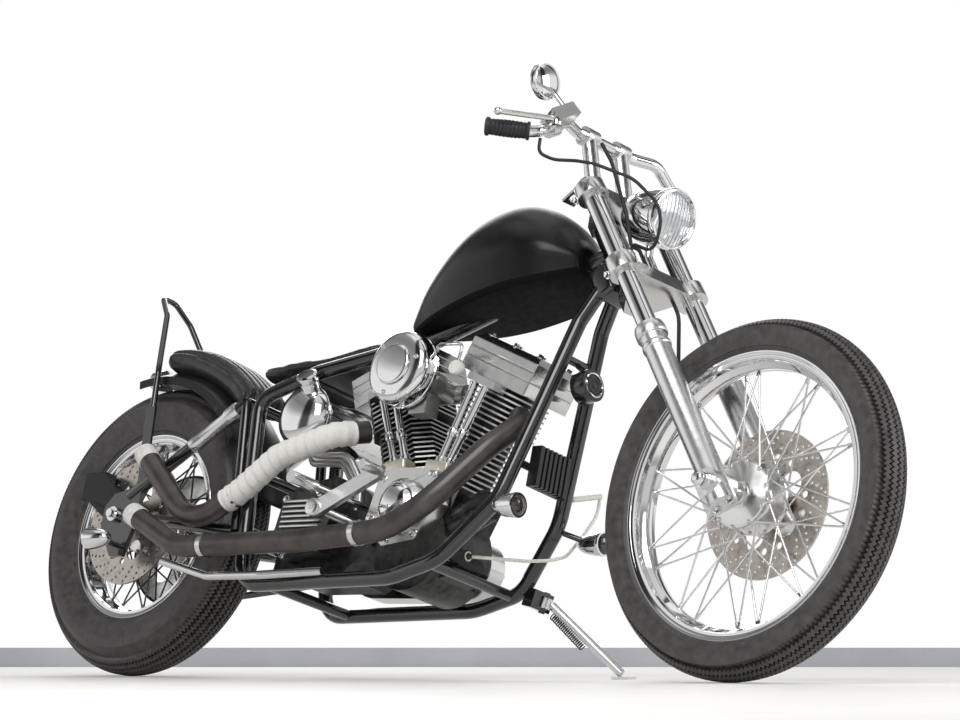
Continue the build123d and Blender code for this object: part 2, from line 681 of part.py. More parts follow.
def primary_cover():
    """Primary case on the left, from the crankshaft back to the clutch."""
    front = Pos(CRANK_X, CRANK_Z) * Circle(PRIMARY_FRONT_R)
    rear = Pos(CLUTCH_X, CLUTCH_Z) * Circle(CLUTCH_R)
    outline = make_hull([*front.edges(), *rear.edges()])
    case = Pos(0, PRIMARY_HIGH_Y, 0) * Rot(90, 0, 0) * extrude(outline, PRIMARY_HIGH_Y - PRIMARY_LOW_Y)
    case = chamfer(case.faces().sort_by(Axis.Y)[-1].edges(), 16)
    case += across(CRANK_X, CRANK_Z, 60, CASE_HALF + SEAT_GAP, PRIMARY_LOW_Y)
    dome = across(CLUTCH_X, CLUTCH_Z, 66, PRIMARY_HIGH_Y - 2, PRIMARY_HIGH_Y + 12)
    return case + dome


def oil_tank():
    """Round oil tank across the frame under the seat, with its filler cap."""
    shell = across(OIL_TANK_X, OIL_TANK_Z, OIL_TANK_R, -OIL_TANK_HALF, OIL_TANK_HALF)
    shell = chamfer(shell.edges().filter_by(GeomType.CIRCLE), 14)
    neck = rod((OIL_TANK_X + 14, -100, OIL_TANK_Z + 44), (OIL_TANK_X + 22, -138, OIL_TANK_Z + 74), 22)
    return shell + neck


# Exhaust, each pipe from its port to an open upturned tip
FRONT_PIPE = [(1089.4, -37.7, 536.4), (1113, -48, 522), (1084, -106, 455), (1012, -178, 318),
              (925, -195, 258), (690, -195, 242),
              (310, -195, 238), (140, -195, 318)]
FRONT_PIPE_BENDS = [26, 160, 160, 160, 400, 150]
REAR_PIPE = [(708, -82, 512), (676, -150, 486), (545, -168, 440), (445, -168, 366),
             (308, -168, 292), (104, -168, 468)]
REAR_PIPE_BENDS = [40, 90, 160, 110]


def pipe(points, bends):
    """Exhaust pipe with an open end."""
    shape = bent_tube(points, bends, PIPE_R)
    tip = Vector(*points[-1])
    inward = (Vector(*points[-2]) - tip).normalized()
    return shape - rod(tuple(tip - inward), tuple(tip + inward * 70), PIPE_R - PIPE_WALL)


BRACKET_PATH = [(722, -151, 188.5), (560, -176, 176), (400, -176, 176), (240, -168, 214)]


def exhaust_bracket():
    """Support tube under the pipes, from the lower rail back to the rear."""
    bar = bent_tube(BRACKET_PATH, [60, 60], 9)
    return bar


# Controls, lamps and fittings on the frame
PEDAL_PIVOT = (765.0, 296.0)
PEDAL_TIP = (925.0, 366.0)


def brake_pedal():
    """Rear brake pedal on its pivot stub, with a round toe peg."""
    stub = across(PEDAL_PIVOT[0] - 6, PEDAL_PIVOT[1], 10, -246, -GEARBOX_HALF - SEAT_GAP)
    arm = side_plate([(748, 284), (776, 280), (930, 352), (934, 378), (918, 378), (764, 312), (748, 310)], -246, -232)
    peg = across(PEDAL_TIP[0], PEDAL_TIP[1], 11, -292, -240)
    return stub + arm + peg


PEG_X = 760.0
PEG_Z = 338.0
PEG_R = 13.0
PEG_STALK_R = 8.0
PEG_LENGTH = 70.0
PEG_TIP_Y = 322.0


def foot_pegs():
    """One foot peg each side, the right on the gearbox and the left on the primary case."""
    pegs = []
    for side, seat_y in ((1, PRIMARY_HIGH_Y), (-1, GEARBOX_HALF)):
        inner = seat_y + SEAT_GAP
        peg = across(PEG_X, PEG_Z, PEG_STALK_R, inner, PEG_TIP_Y - PEG_LENGTH)
        peg += across(PEG_X, PEG_Z, PEG_R, PEG_TIP_Y - PEG_LENGTH, PEG_TIP_Y)
        pegs.append(peg if side > 0 else mirror(peg, about=Plane.XZ))
    return Compound(pegs)


HORN_X = NECK_X - 17
HORN_Z = 606.0
HORN_R = 34.0
HORN_DEPTH = 34.0
HORN_STAY_R = 6.0


def horn():
    """Round horn ahead of the down tubes, its stay on the bar between them."""
    body = Pos(HORN_X, 0, HORN_Z) * Rot(0, 80, 0) * Cylinder(HORN_R, HORN_DEPTH)
    stay = rod((HORN_X - 8, 0, HORN_Z + 30), (HORN_BAR_X + 6.2, 0, HORN_BAR_Z - 7.1), HORN_STAY_R)
    return body + stay


REGULATOR = (26.0, 96.0, 84.0)
REGULATOR_X = NECK_X - 98
REGULATOR_Z = 428.0
REGULATOR_BAR_R = 8.0
REGULATOR_BAR_HALF = 65.2
REGULATOR_FINS = 7
REGULATOR_SLOT = (16.0, 6.0)           # depth and width of each gap between fins


def regulator():
    """Charging regulator on a bar between the down tubes."""
    bar = across(REGULATOR_X, REGULATOR_Z, REGULATOR_BAR_R, -REGULATOR_BAR_HALF, REGULATOR_BAR_HALF)
    block = Pos(REGULATOR_X + REGULATOR[0] / 2 + REGULATOR_BAR_R - 2, 0, REGULATOR_Z) * Box(*REGULATOR)
    pitch = REGULATOR[1] / REGULATOR_FINS
    for number in range(1, REGULATOR_FINS):
        side = number * pitch - REGULATOR[1] / 2
        block -= Pos(REGULATOR_X + REGULATOR[0] + REGULATOR_BAR_R - 2, side, REGULATOR_Z) * Box(
            REGULATOR_SLOT[0], REGULATOR_SLOT[1], REGULATOR[2] + 1, align=(Align.MAX, Align.CENTER, Align.CENTER))
    return bar + block


SIGNAL_R = 24.0
SIGNALS = [                # x, y, z of each bullet lamp, stalk end
    (NECK_X - 51, 136, 317, NECK_X - 108.56, 107.46, 333.03),
    (NECK_X - 51, -136, 317, NECK_X - 108.56, -107.46, 333.03),
    (26, 184, 268, 26, 128.3, 268),
    (26, -184, 268, 26, -128.3, 268),
]


def signals():
    """Bullet turn lamps on short stalks."""
    lamps = []
    for x, y, z, stalk_x, stalk_y, stalk_z in SIGNALS:
        ahead = 1 if x > OUTPUT_X else -1
        body = Pos(x, y, z) * Rot(0, 90 * ahead, 0) * Cone(SIGNAL_R * 0.55, SIGNAL_R, 56)
        lamps.append(body + rod((x, y, z), (stalk_x, stalk_y, stalk_z), 6))
    return Compound(lamps)


def tail_light():
    """Small lamp on the fender's rear edge."""
    lamp = Pos(-93, 0, 706) * Rot(0, -90, 0) * Cylinder(26, 34)
    return lamp


# Front end pieces, in the fork's axes
def fork_tubes():
    """Chromed inner tubes held by both clamps."""
    tube = Pos(FORK_OFFSET, LEG_Y, SLIDER_TOP - SLIDER_SOCKET + SEAT_GAP) * Cylinder(
        TUBE_R, TUBE_TOP - SLIDER_TOP + SLIDER_SOCKET, align=(Align.CENTER, Align.CENTER, Align.MIN))
    return both_sides(tube)


def fork_sliders():
    """Lower legs with a dust cap on top and an axle lug below."""
    leg = Pos(FORK_OFFSET, LEG_Y, SLIDER_FOOT) * Cylinder(
        SLIDER_R, SLIDER_TOP - SLIDER_FOOT, align=(Align.CENTER, Align.CENTER, Align.MIN))
    leg += Pos(FORK_OFFSET, LEG_Y, SLIDER_TOP) * Cylinder(
        CAP_R, CAP_LENGTH, align=(Align.CENTER, Align.CENTER, Align.MAX))
    leg -= Pos(FORK_OFFSET, LEG_Y, SLIDER_TOP - SLIDER_SOCKET) * Cylinder(
        TUBE_R + SEAT_GAP, SLIDER_SOCKET + 1, align=(Align.CENTER, Align.CENTER, Align.MIN))
    leg += across(FORK_OFFSET, 0, 26, LEG_Y - LUG_IN, LEG_Y + LUG_OUT)
    leg -= across(FORK_OFFSET, 0, AXLE_R + SEAT_GAP, LEG_Y - 60, LEG_Y + 60)
    return both_sides(leg)


def axle(x, z, half, nut_low):
    """Axle across the machine with a round nut each side."""
    shape = across(x, z, AXLE_R, -half, half)
    return shape + both_sides(across(x, z, AXLE_NUT_R, nut_low, nut_low + AXLE_NUT_WALL))


def front_axle():
    """Front axle through both fork lugs."""
    return axle(FORK_OFFSET, 0, LEG_Y + 46, LEG_Y + LUG_OUT + SEAT_GAP)


def rear_axle():
    """Rear axle through both plates of the arm."""
    return axle(0, REAR_AXLE_Z, REAR_AXLE_HALF, ARM_Y + ARM_PLATE_WALL / 2 + SEAT_GAP)


def clamp_plate(low, height, stem_r):
    """Yoke plate with a clamp ring round each leg, hull shaped from above."""
    rings = [Pos(FORK_OFFSET, side * LEG_Y) * Circle(TUBE_R + CLAMP_WALL) for side in (-1, 1)]
    core = Circle(stem_r)
    web = Polyline((FORK_OFFSET + 16, LEG_Y), (-stem_r, 20), (-stem_r, -20), (FORK_OFFSET + 16, -LEG_Y), close=True)
    outline = make_face(web) + rings[0] + rings[1] + core
    shape = Pos(0, 0, low) * extrude(outline, height)
    for side in (-1, 1):
        shape -= Pos(FORK_OFFSET, side * LEG_Y, low - 1) * Cylinder(
            TUBE_R + SEAT_GAP, height + 2, align=(Align.CENTER, Align.CENTER, Align.MIN))
    return shape


def lower_clamp():
    """Lower yoke with the steering stem."""
    stem = Pos(0, 0, LOWER_CLAMP_Z + 1) * Cylinder(
        STEM_R, TOP_CLAMP_Z - LOWER_CLAMP_Z - 1 - SEAT_GAP, align=(Align.CENTER, Align.CENTER, Align.MIN))
    return clamp_plate(LOWER_CLAMP_Z, LOWER_CLAMP_HEIGHT, NECK_R) + stem


GAUGE_HOLE_R = 11.0
GAUGE_TAB = (50.0, 34.0, 6.0)
GAUGE_PLACE = (11.0, -83.5)            # middle of the tab, ahead of and beside the steering axis
GAUGE_HOLE_X = 6.0
GAUGE_RISE = 24.0
GAUGE_POST = (11.0, 24.0)


def top_clamp():
    """Upper yoke with a raised tab on the right for a gauge, its hole through the tab."""
    shape = clamp_plate(TOP_CLAMP_Z, TOP_CLAMP_HEIGHT, NECK_R)
    top = TOP_CLAMP_Z + TOP_CLAMP_HEIGHT
    tab_x, tab_y = GAUGE_PLACE
    shape += Pos(tab_x, tab_y, top + GAUGE_RISE) * Box(*GAUGE_TAB, align=(Align.CENTER, Align.CENTER, Align.MIN))
    shape += Pos(tab_x + GAUGE_TAB[0] / 2, tab_y, top) * Box(
        *GAUGE_POST, GAUGE_RISE, align=(Align.MAX, Align.CENTER, Align.MIN))
    hole = Pos(GAUGE_HOLE_X, tab_y, top) * Cylinder(
        GAUGE_HOLE_R, 2 * GAUGE_RISE, align=(Align.CENTER, Align.CENTER, Align.MIN))
    return shape - hole


def in_fork(x, y, z):
    """Point of the upright, unturned machine in the fork's axes."""
    return point_in(FORK.inverse(), x, y, z)


BAR_R = 12.7
BAR_MIDDLE = (NECK_X - 76, 0, 1140)
BAR_SIDE = [(NECK_X - 125, 285, 1089), (NECK_X - 57, 216, 1091), (NECK_X - 53, 140, 1140), (NECK_X - 76, 80, 1140)]
BAR_PATH = BAR_SIDE + [(x, -y, z) for x, y, z in reversed(BAR_SIDE)]
BAR_BENDS = [32, 42, 60, 60, 42, 32]
RISER_Y = 48.0
RISER_R = 17.0
GRIP_R = 17.0
GRIP_FROM = 0.06           # share of the outer run, from its end
GRIP_LENGTH = 84.0


def handlebar():
    """Low pulled back bar."""
    return bent_tube([in_fork(*p) for p in BAR_PATH], BAR_BENDS, BAR_R)


def risers():
    """Two risers bolted to the top clamp, with a cap over the bar."""
    shape = None
    for side in (-1, 1):
        top = in_fork(BAR_MIDDLE[0], side * RISER_Y, BAR_MIDDLE[2])
        foot = Vector(FORK_OFFSET - 34, side * RISER_Y, TOP_CLAMP_Z + TOP_CLAMP_HEIGHT)
        post = rod(tuple(foot), tuple(top), RISER_R)
        saddle = Pos(top) * Rot(-90, 0, 0) * Cylinder(BAR_R + 8, 2 * RISER_R)
        post = post + saddle - Pos(top) * Rot(-90, 0, 0) * Cylinder(BAR_R + SEAT_GAP, 4 * RISER_R)
        cut = Pos(0, 0, TOP_CLAMP_Z + TOP_CLAMP_HEIGHT) * Box(400, 400, 60, align=(Align.CENTER, Align.CENTER, Align.MAX))
        post -= cut
        shape = post if shape is None else shape + post
    return shape


def grips():
    """Rubber grips over the bar's ends."""
    shapes = []
    for end, inner in ((BAR_PATH[0], BAR_PATH[1]), (BAR_PATH[-1], BAR_PATH[-2])):
        tip = in_fork(*end)
        run = (in_fork(*inner) - tip).normalized()
        sleeve = rod(tuple(tip - run * 6), tuple(tip + run * GRIP_LENGTH), GRIP_R)
        bore = rod(tuple(tip - run * SEAT_GAP), tuple(tip + run * (GRIP_LENGTH + 1)), BAR_R + SEAT_GAP)
        shapes.append(sleeve - bore)
    return Compound(shapes)


LAMP_R = 60.0
LAMP_LENGTH = 96.0
LAMP_PLACE = (NECK_X + 91, 0.0, 960.0)
LAMP_NOD = 12.0            # degrees that the beam points below level


def lamp_axes():
    """Axes of the headlamp in the fork: z along the beam."""
    place = in_fork(*LAMP_PLACE)
    return Pos(place) * Rot(0, RAKE, 0) * Rot(0, 90 + LAMP_NOD, 0)


def headlamp():
    """Bullet headlamp shell with its stay down to the lower clamp."""
    shell = Pos(0, 0, -LAMP_LENGTH / 2) * Cone(
        LAMP_R * 0.5, LAMP_R, LAMP_LENGTH, align=(Align.CENTER, Align.CENTER, Align.MIN))
    foot = Vector(FORK_OFFSET + 4, 0, LOWER_CLAMP_Z + LOWER_CLAMP_HEIGHT + SEAT_GAP)
    stay = bent_tube([foot, foot + Vector(0, 0, 46), in_fork(*LAMP_PLACE)], [20], 9)
    return lamp_axes() * shell + stay


def headlamp_lens():
    """Domed glass in a bright ring."""
    disc = Cylinder(LAMP_R, 14, align=(Align.CENTER, Align.CENTER, Align.MIN))
    disc = chamfer(disc.faces().sort_by(Axis.Z)[-1].edges(), 8)
    return lamp_axes() * Pos(0, 0, LAMP_LENGTH / 2 + SEAT_GAP) * disc


PERCH = (NECK_X - 55, -178.0, 1115.5)       # middle of the bar's right run
PERCH_WIDTH = 24.0
LEVER_R = 6.0
RESERVOIR = (38.0, 30.0, 62.0)
RESERVOIR_X = 34.0


def perch_axes():
    """Axes of the fluid reservoir: x ahead of the bar, z along the bar towards the middle."""
    run = in_fork(*BAR_PATH[5]) - in_fork(*BAR_PATH[6])
    return Plane(in_fork(*PERCH) + Vector(RESERVOIR_X, 0, 0), x_dir=(1, 0, 0), z_dir=run)


def brake_lever():
    """Right hand lever on a ring round the bar, with the fluid reservoir ahead of it."""
    centre = in_fork(*PERCH)
    run = (in_fork(*BAR_PATH[5]) - in_fork(*BAR_PATH[6])).normalized()
    low = centre - run * (PERCH_WIDTH / 2)
    high = centre + run * (PERCH_WIDTH / 2)
    ring = rod(tuple(low), tuple(high), BAR_R + 9)
    tank = perch_axes() * Box(*RESERVOIR)
    blade = rod(tuple(in_fork(NECK_X - 21, -196, 1120)), tuple(in_fork(NECK_X - 81, -306, 1108)), LEVER_R)
    return ring + tank + blade - rod(tuple(low - run), tuple(high + run), BAR_R + SEAT_GAP)


MIRROR_R = 37.0
MIRROR_PLACE = (NECK_X - 59, -208.0, 1204.0)
MIRROR_RISE = 34.0
MIRROR_STEM_R = 5.0


def mirror_piece():
    """Round mirror on a bent stem that stands on the lever's reservoir."""
    base = Location(perch_axes())
    foot = point_in(base, 4, -RESERVOIR[1] / 2 - SEAT_GAP, 16)
    knee = point_in(base, 4, -RESERVOIR[1] / 2 - MIRROR_RISE, 16)
    stem = bent_tube([foot, knee, in_fork(*MIRROR_PLACE)], [20], MIRROR_STEM_R)
    disc = Pos(in_fork(*MIRROR_PLACE)) * Rot(0, RAKE, 0) * Rot(0, 90, 30) * Cylinder(MIRROR_R, 12)
    return stem + disc


CALIPER = (54.0, 86.0)                 # length and height of the front caliper
CALIPER_PLACE = (-38.0, 96.0)
CALIPER_INNER_WALL = 4.0
CALIPER_OUT_Y = 84.0
CALIPER_LUG = 8.0


def front_caliper():
    """Brake caliper behind the left slider, open round the disc's edge, on a lug to the slider."""
    low = FRONT.disc_y - RUN_GAP
    high = FRONT.disc_y + DISC_WALL + RUN_GAP
    width = CALIPER_OUT_Y - low + CALIPER_INNER_WALL
    block = Pos(CALIPER_PLACE[0], CALIPER_OUT_Y, CALIPER_PLACE[1]) * Box(
        CALIPER[0], width, CALIPER[1], align=(Align.CENTER, Align.MAX, Align.CENTER))
    block -= across(FORK_OFFSET, 0, DISC_R + RUN_GAP, low, high)
    chord = math.sqrt(SLIDER_R ** 2 - (LEG_Y - CALIPER_OUT_Y) ** 2)
    lug_length = FORK_OFFSET - chord - SEAT_GAP - CALIPER_PLACE[0]
    lug = Pos(CALIPER_PLACE[0], CALIPER_OUT_Y, CALIPER_PLACE[1]) * Box(
        lug_length, CALIPER_LUG, CALIPER[1] / 2, align=(Align.MIN, Align.MAX, Align.CENTER))
    return block + lug


REAR_CALIPER = (70.0, 64.0)
REAR_CALIPER_PLACE = (-118.0, 78.0)    # behind and above the axle
CARRIER_WALL = 8.0


def rear_caliper():
    """Brake caliper over the rear disc, on a carrier plate round the axle beside the arm."""
    seat_y = ARM_PLATE_WALL / 2 - ARM_Y + SEAT_GAP
    high = REAR.disc_y + RUN_GAP
    low = REAR.disc_y - DISC_WALL - RUN_GAP
    width = high + CALIPER_INNER_WALL - seat_y
    x, rise = REAR_CALIPER_PLACE
    z = REAR_AXLE_Z + rise
    block = Pos(x, seat_y, z) * Box(REAR_CALIPER[0], width, REAR_CALIPER[1],
                                    align=(Align.CENTER, Align.MIN, Align.CENTER))
    block -= across(0, REAR_AXLE_Z, DISC_R + RUN_GAP, low, high)
    arm = side_plate([(x - 30, z + 24), (x + 34, z + 30), (22, REAR_AXLE_Z + 22), (22, REAR_AXLE_Z - 22),
                      (-22, REAR_AXLE_Z - 22), (x - 30, z - 24)], seat_y, seat_y + CARRIER_WALL)
    return block + arm - across(0, REAR_AXLE_Z, AXLE_R + SEAT_GAP, seat_y - 1, seat_y + CARRIER_WALL + 1)


# Cables and hoses, straight runs joined by arcs
CABLE_R = 3.5
CABLE_BEND = 70.0
HOSE_R = 4.0
THROTTLE_PATH = [          # ahead of the steering axis, side, height
    (-59, -200, 1083), (-59, -200, 1052), (-27, -185, 1037), (14, -165, 1036), (51, -150, 1030),
    (119, -100, 1005), (175, -80, 953), (191, -78, 912), (170, -66, 853),
]
THROTTLE_END = [(66, -60, 640), (66, -60, 577.5)]      # in the fork's axes, on the lower clamp
UPPER_HOSE_PATH = [(29, -112, 1090), (45, -92, 1054), (59, -74, 999), (79, -64, 946), (92, -52, 880)]
UPPER_HOSE_END = [(70, -36, 625), (70, -36, 577.5)]
LOWER_HOSE = [(40, 60, 540.6), (40, 60, 505), (-20, 80, 420), (-38, 84, 260), (-38, 66, 180), (-38, 66, 139.4)]


def control_cables():
    """Throttle cable and brake hose from the bar to the lower clamp, and the hose on to the caliper."""
    throttle = [tuple(in_fork(NECK_X + x, y, z)) for x, y, z in THROTTLE_PATH] + THROTTLE_END
    hose = [tuple(in_fork(NECK_X + x, y, z)) for x, y, z in UPPER_HOSE_PATH] + UPPER_HOSE_END
    runs = [
        cable(throttle, CABLE_R, CABLE_BEND),
        cable(hose, HOSE_R, CABLE_BEND),
        cable(LOWER_HOSE, HOSE_R, CABLE_BEND),
    ]
    return Compound(runs)


CLUTCH_ARM = [(NECK_X - 103, 106.4, 404), (NECK_X - 108, 200, 440)]
CLUTCH_ARM_R = 6.0
CLUTCH_PATH = [            # ahead of the steering axis, side, height
    (-108, 200, 440), (-108, 200, 400), (-106, 165, 345), (-96, 112, 285), (-90, 60, 262), (-110, 15, 248),
    (-164, -40, 240), (-209, -56.3, 240),
]
BOOT_R = 10.0


def clutch_cable():
    """Clutch cable from the arm on the left down tube, under the tubes to its boot beside the engine mount."""
    path = [(NECK_X + x, y, z) for x, y, z in CLUTCH_PATH]
    x, y, z = path[-1]
    boot_end = CRANK_X + math.sqrt((CASE_R + BOOT_R + SEAT_GAP) ** 2 - (CRANK_Z - z) ** 2)
    boot = rod((x + 4, y, z), (boot_end, y, z), BOOT_R)
    return cable(path, CABLE_R, CABLE_BEND) + rod(*CLUTCH_ARM, CLUTCH_ARM_R) + boot


BODIES = {
    "chassis": {
        "frame": frame(), "swingarm": swingarm(), "rear_axle": rear_axle(), "rear_fender": rear_fender(),
        "pillion_pad": pillion_pad(), "seat": seat(), "sissy_bar": sissy_bar(), "fuel_tank": fuel_tank(),
        "engine_case": engine_case(), "cylinder_front": barrel(1) + head(1), "cylinder_rear": barrel(-1) + head(-1),
        "rocker_box_front": rocker_box(1), "rocker_box_rear": rocker_box(-1),
        "pushrod_tubes": pushrod_tubes(), "cam_cover": cam_cover(),
        "air_cleaner": air_cleaner(), "carburettor": carburettor(), "gearbox": gearbox(),
        "primary_cover": primary_cover(), "drive_belt": drive_belt(), "oil_tank": oil_tank(),
        "exhaust_front": pipe(FRONT_PIPE, FRONT_PIPE_BENDS), "exhaust_rear": pipe(REAR_PIPE, REAR_PIPE_BENDS),
        "exhaust_bracket": exhaust_bracket(), "brake_pedal": brake_pedal(), "foot_pegs": foot_pegs(),
        "horn": horn(), "regulator": regulator(), "signals": signals(), "tail_light": tail_light(),
        "rear_caliper": rear_caliper(), "clutch_cable": clutch_cable(),
    },
    "steering": {
        "lower_clamp": lower_clamp(), "top_clamp": top_clamp(), "fork_tubes": fork_tubes(),
        "fork_sliders": fork_sliders(), "front_axle": front_axle(), "handlebar": handlebar(), "risers": risers(),
        "grips": grips(), "headlamp": headlamp(), "headlamp_lens": headlamp_lens(), "brake_lever": brake_lever(),
        "mirror": mirror_piece(), "front_caliper": front_caliper(), "control_cables": control_cables(),
    },
    "front_wheel": {
        "front_tyre": tyre(FRONT), "front_rim": rim(FRONT), "front_hub": hub(FRONT),
        "front_spokes": spokes(FRONT), "front_disc": brake_disc(FRONT),
    },
    "rear_wheel": {
        "rear_tyre": tyre(REAR), "rear_rim": rim(REAR), "rear_hub": hub(REAR), "rear_spokes": spokes(REAR),
        "rear_disc": brake_disc(REAR), "rear_pulley": rear_pulley(),
    },
    "side_stand": {"side_stand": side_stand()},
}

# Parked place of each body, before the origin is set
PLACES = {
    "chassis": LEANED,
    "steering": LEANED * STEERED,
    "front_wheel": LEANED * STEERED * Pos(FORK_OFFSET, 0, 0),
    "rear_wheel": LEANED * Pos(rear_centre),
    "side_stand": LEANED,
}

parked = {}
for body, pieces in BODIES.items():
    for node, piece in pieces.items():
        parked[node] = PLACES[body] * piece

reach = Compound(list(parked.values())).bounding_box()
ORIGIN = Pos(-(reach.min.X + reach.max.X) / 2, -(reach.min.Y + reach.max.Y) / 2, -reach.min.Z)

os.makedirs("parts", exist_ok=True)
for node, piece in parked.items():
    export_step(ORIGIN * piece, f"parts/{node}.step")
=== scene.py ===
"""Looks of the parked chopper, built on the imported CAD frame. Lengths in metres, row frame."""
import json
import math

import bmesh
import bpy
from mathutils import Matrix, Vector


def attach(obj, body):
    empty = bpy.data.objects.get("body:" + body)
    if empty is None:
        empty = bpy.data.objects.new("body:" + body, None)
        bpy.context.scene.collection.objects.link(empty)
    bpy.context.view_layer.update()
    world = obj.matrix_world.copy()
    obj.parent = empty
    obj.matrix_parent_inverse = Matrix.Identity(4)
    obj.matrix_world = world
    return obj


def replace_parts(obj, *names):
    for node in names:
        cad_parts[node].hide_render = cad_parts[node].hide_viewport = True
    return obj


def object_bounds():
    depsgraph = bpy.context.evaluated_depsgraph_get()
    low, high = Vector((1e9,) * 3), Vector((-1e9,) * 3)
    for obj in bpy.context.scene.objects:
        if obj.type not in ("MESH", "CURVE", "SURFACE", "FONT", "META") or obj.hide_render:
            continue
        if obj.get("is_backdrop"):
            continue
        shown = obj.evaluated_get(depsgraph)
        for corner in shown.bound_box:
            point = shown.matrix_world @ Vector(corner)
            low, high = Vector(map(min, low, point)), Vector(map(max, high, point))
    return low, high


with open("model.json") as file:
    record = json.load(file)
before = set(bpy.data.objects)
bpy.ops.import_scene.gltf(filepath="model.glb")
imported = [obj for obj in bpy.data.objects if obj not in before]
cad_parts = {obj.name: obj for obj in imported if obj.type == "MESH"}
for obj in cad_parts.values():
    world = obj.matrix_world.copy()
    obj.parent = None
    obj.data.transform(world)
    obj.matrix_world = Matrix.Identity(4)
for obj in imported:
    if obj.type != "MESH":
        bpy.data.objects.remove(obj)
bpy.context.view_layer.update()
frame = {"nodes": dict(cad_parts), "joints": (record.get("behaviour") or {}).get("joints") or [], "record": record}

# Axes of the machine
# The joints give the axes that the pieces are drawn in: the upright machine (x forward from the
# rear axle, y left, z up), the turned fork (z along the steering axis) and both wheels.
joints = {joint["name"]: joint for joint in frame["joints"]}
rear_axle = Vector(joints["rear_wheel_spin"]["pos_m"])
front_axle = Vector(joints["front_wheel_spin"]["pos_m"])
fork_foot = Vector(joints["steering"]["pos_m"])


def axes(origin, x_axis, y_axis):
    """Matrix of axes with that origin, x and y."""
    x_axis = Vector(x_axis).normalized()
    z_axis = x_axis.cross(Vector(y_axis)).normalized()
    y_axis = z_axis.cross(x_axis)
    turn = Matrix((x_axis, y_axis, z_axis)).transposed().to_4x4()
    return Matrix.Translation(origin) @ turn


REAR_AXLE_Z = 0.3392       # over the ground line of the upright machine
NECK_X = 1.23898           # steering axis at the neck's height
rear_hub = axes(rear_axle, (1, 0, 0), joints["rear_wheel_spin"]["axis"])
front_hub = axes(front_axle, front_axle - fork_foot, joints["front_wheel_spin"]["axis"])
fork = Matrix.Translation(fork_foot - front_axle) @ front_hub
upright = rear_hub @ Matrix.Translation((0, 0, -REAR_AXLE_Z))
rake = Matrix.Rotation(math.radians(-34), 4, "Y")
turned = fork @ (Matrix.Translation(upright.inverted() @ fork_foot) @ rake).inverted()

# Camera
# Fitted to both wheels in the photo: a long lens close to the floor, ahead of the right side.
camera_data = bpy.data.cameras.new("camera")
camera_data.sensor_width = 36.0
camera_data.lens = 102.59
camera_data.clip_end = 100.0
camera = bpy.data.objects.new("camera", camera_data)
bpy.context.scene.collection.objects.link(camera)
bpy.context.scene.camera = camera
pan, rise = math.radians(42.063), math.radians(5.948)
ahead = Vector((-math.sin(pan) * math.cos(rise), math.cos(pan) * math.cos(rise), math.sin(rise)))
right = Vector((math.cos(pan), math.sin(pan), 0))
camera_place = upright @ Vector((0, 0, 0)) + Vector((4.73873, -4.06481, 0.06941))
camera.matrix_world = (Matrix.Translation(camera_place)
                       @ Matrix((right, right.cross(ahead), -ahead)).transposed().to_4x4())

# Finishes of the CAD pieces
# One shared group lets tone, gloss and relief wander over a surface, and each finish of the machine
# places it with its own values: chrome, alloys, paints, burnt steel, rubber and hide.
bpy.context.scene.view_settings.view_transform = "Standard"
surface = bpy.data.node_groups.new("surface", "ShaderNodeTree")
for socket, kind in (("Vector", "NodeSocketVector"), ("Scale", "NodeSocketFloat"),
                     ("Dark", "NodeSocketColor"), ("Light", "NodeSocketColor"),
                     ("Smooth", "NodeSocketFloat"), ("Rough", "NodeSocketFloat"),
                     ("Relief", "NodeSocketFloat")):
    surface.interface.new_socket(name=socket, in_out="INPUT", socket_type=kind)
for socket, kind in (("Color", "NodeSocketColor"), ("Roughness", "NodeSocketFloat"),
                     ("Normal", "NodeSocketVector")):
    surface.interface.new_socket(name=socket, in_out="OUTPUT", socket_type=kind)
entry = surface.nodes.new("NodeGroupInput")
leave = surface.nodes.new("NodeGroupOutput")
noise = surface.nodes.new("ShaderNodeTexNoise")
noise.inputs["Detail"].default_value = 6.0
spread = surface.nodes.new("ShaderNodeMapRange")
spread.inputs["From Min"].default_value = 0.32
spread.inputs["From Max"].default_value = 0.68
tone = surface.nodes.new("ShaderNodeMix")
tone.data_type = "RGBA"
gloss = surface.nodes.new("ShaderNodeMapRange")
bump = surface.nodes.new("ShaderNodeBump")
bump.inputs["Distance"].default_value = 0.002
for source, target in ((entry.outputs["Vector"], noise.inputs["Vector"]),
                       (entry.outputs["Scale"], noise.inputs["Scale"]),
                       (noise.outputs["Fac"], spread.inputs["Value"]),
                       (spread.outputs["Result"], tone.inputs["Factor"]),
                       (entry.outputs["Dark"], tone.inputs["A"]),
                       (entry.outputs["Light"], tone.inputs["B"]),
                       (spread.outputs["Result"], gloss.inputs["Value"]),
                       (entry.outputs["Smooth"], gloss.inputs["To Min"]),
                       (entry.outputs["Rough"], gloss.inputs["To Max"]),
                       (noise.outputs["Fac"], bump.inputs["Height"]),
                       (entry.outputs["Relief"], bump.inputs["Strength"]),
                       (tone.outputs["Result"], leave.inputs["Color"]),
                       (gloss.outputs["Result"], leave.inputs["Roughness"]),
                       (bump.outputs["Normal"], leave.inputs["Normal"])):
    surface.links.new(source, target)


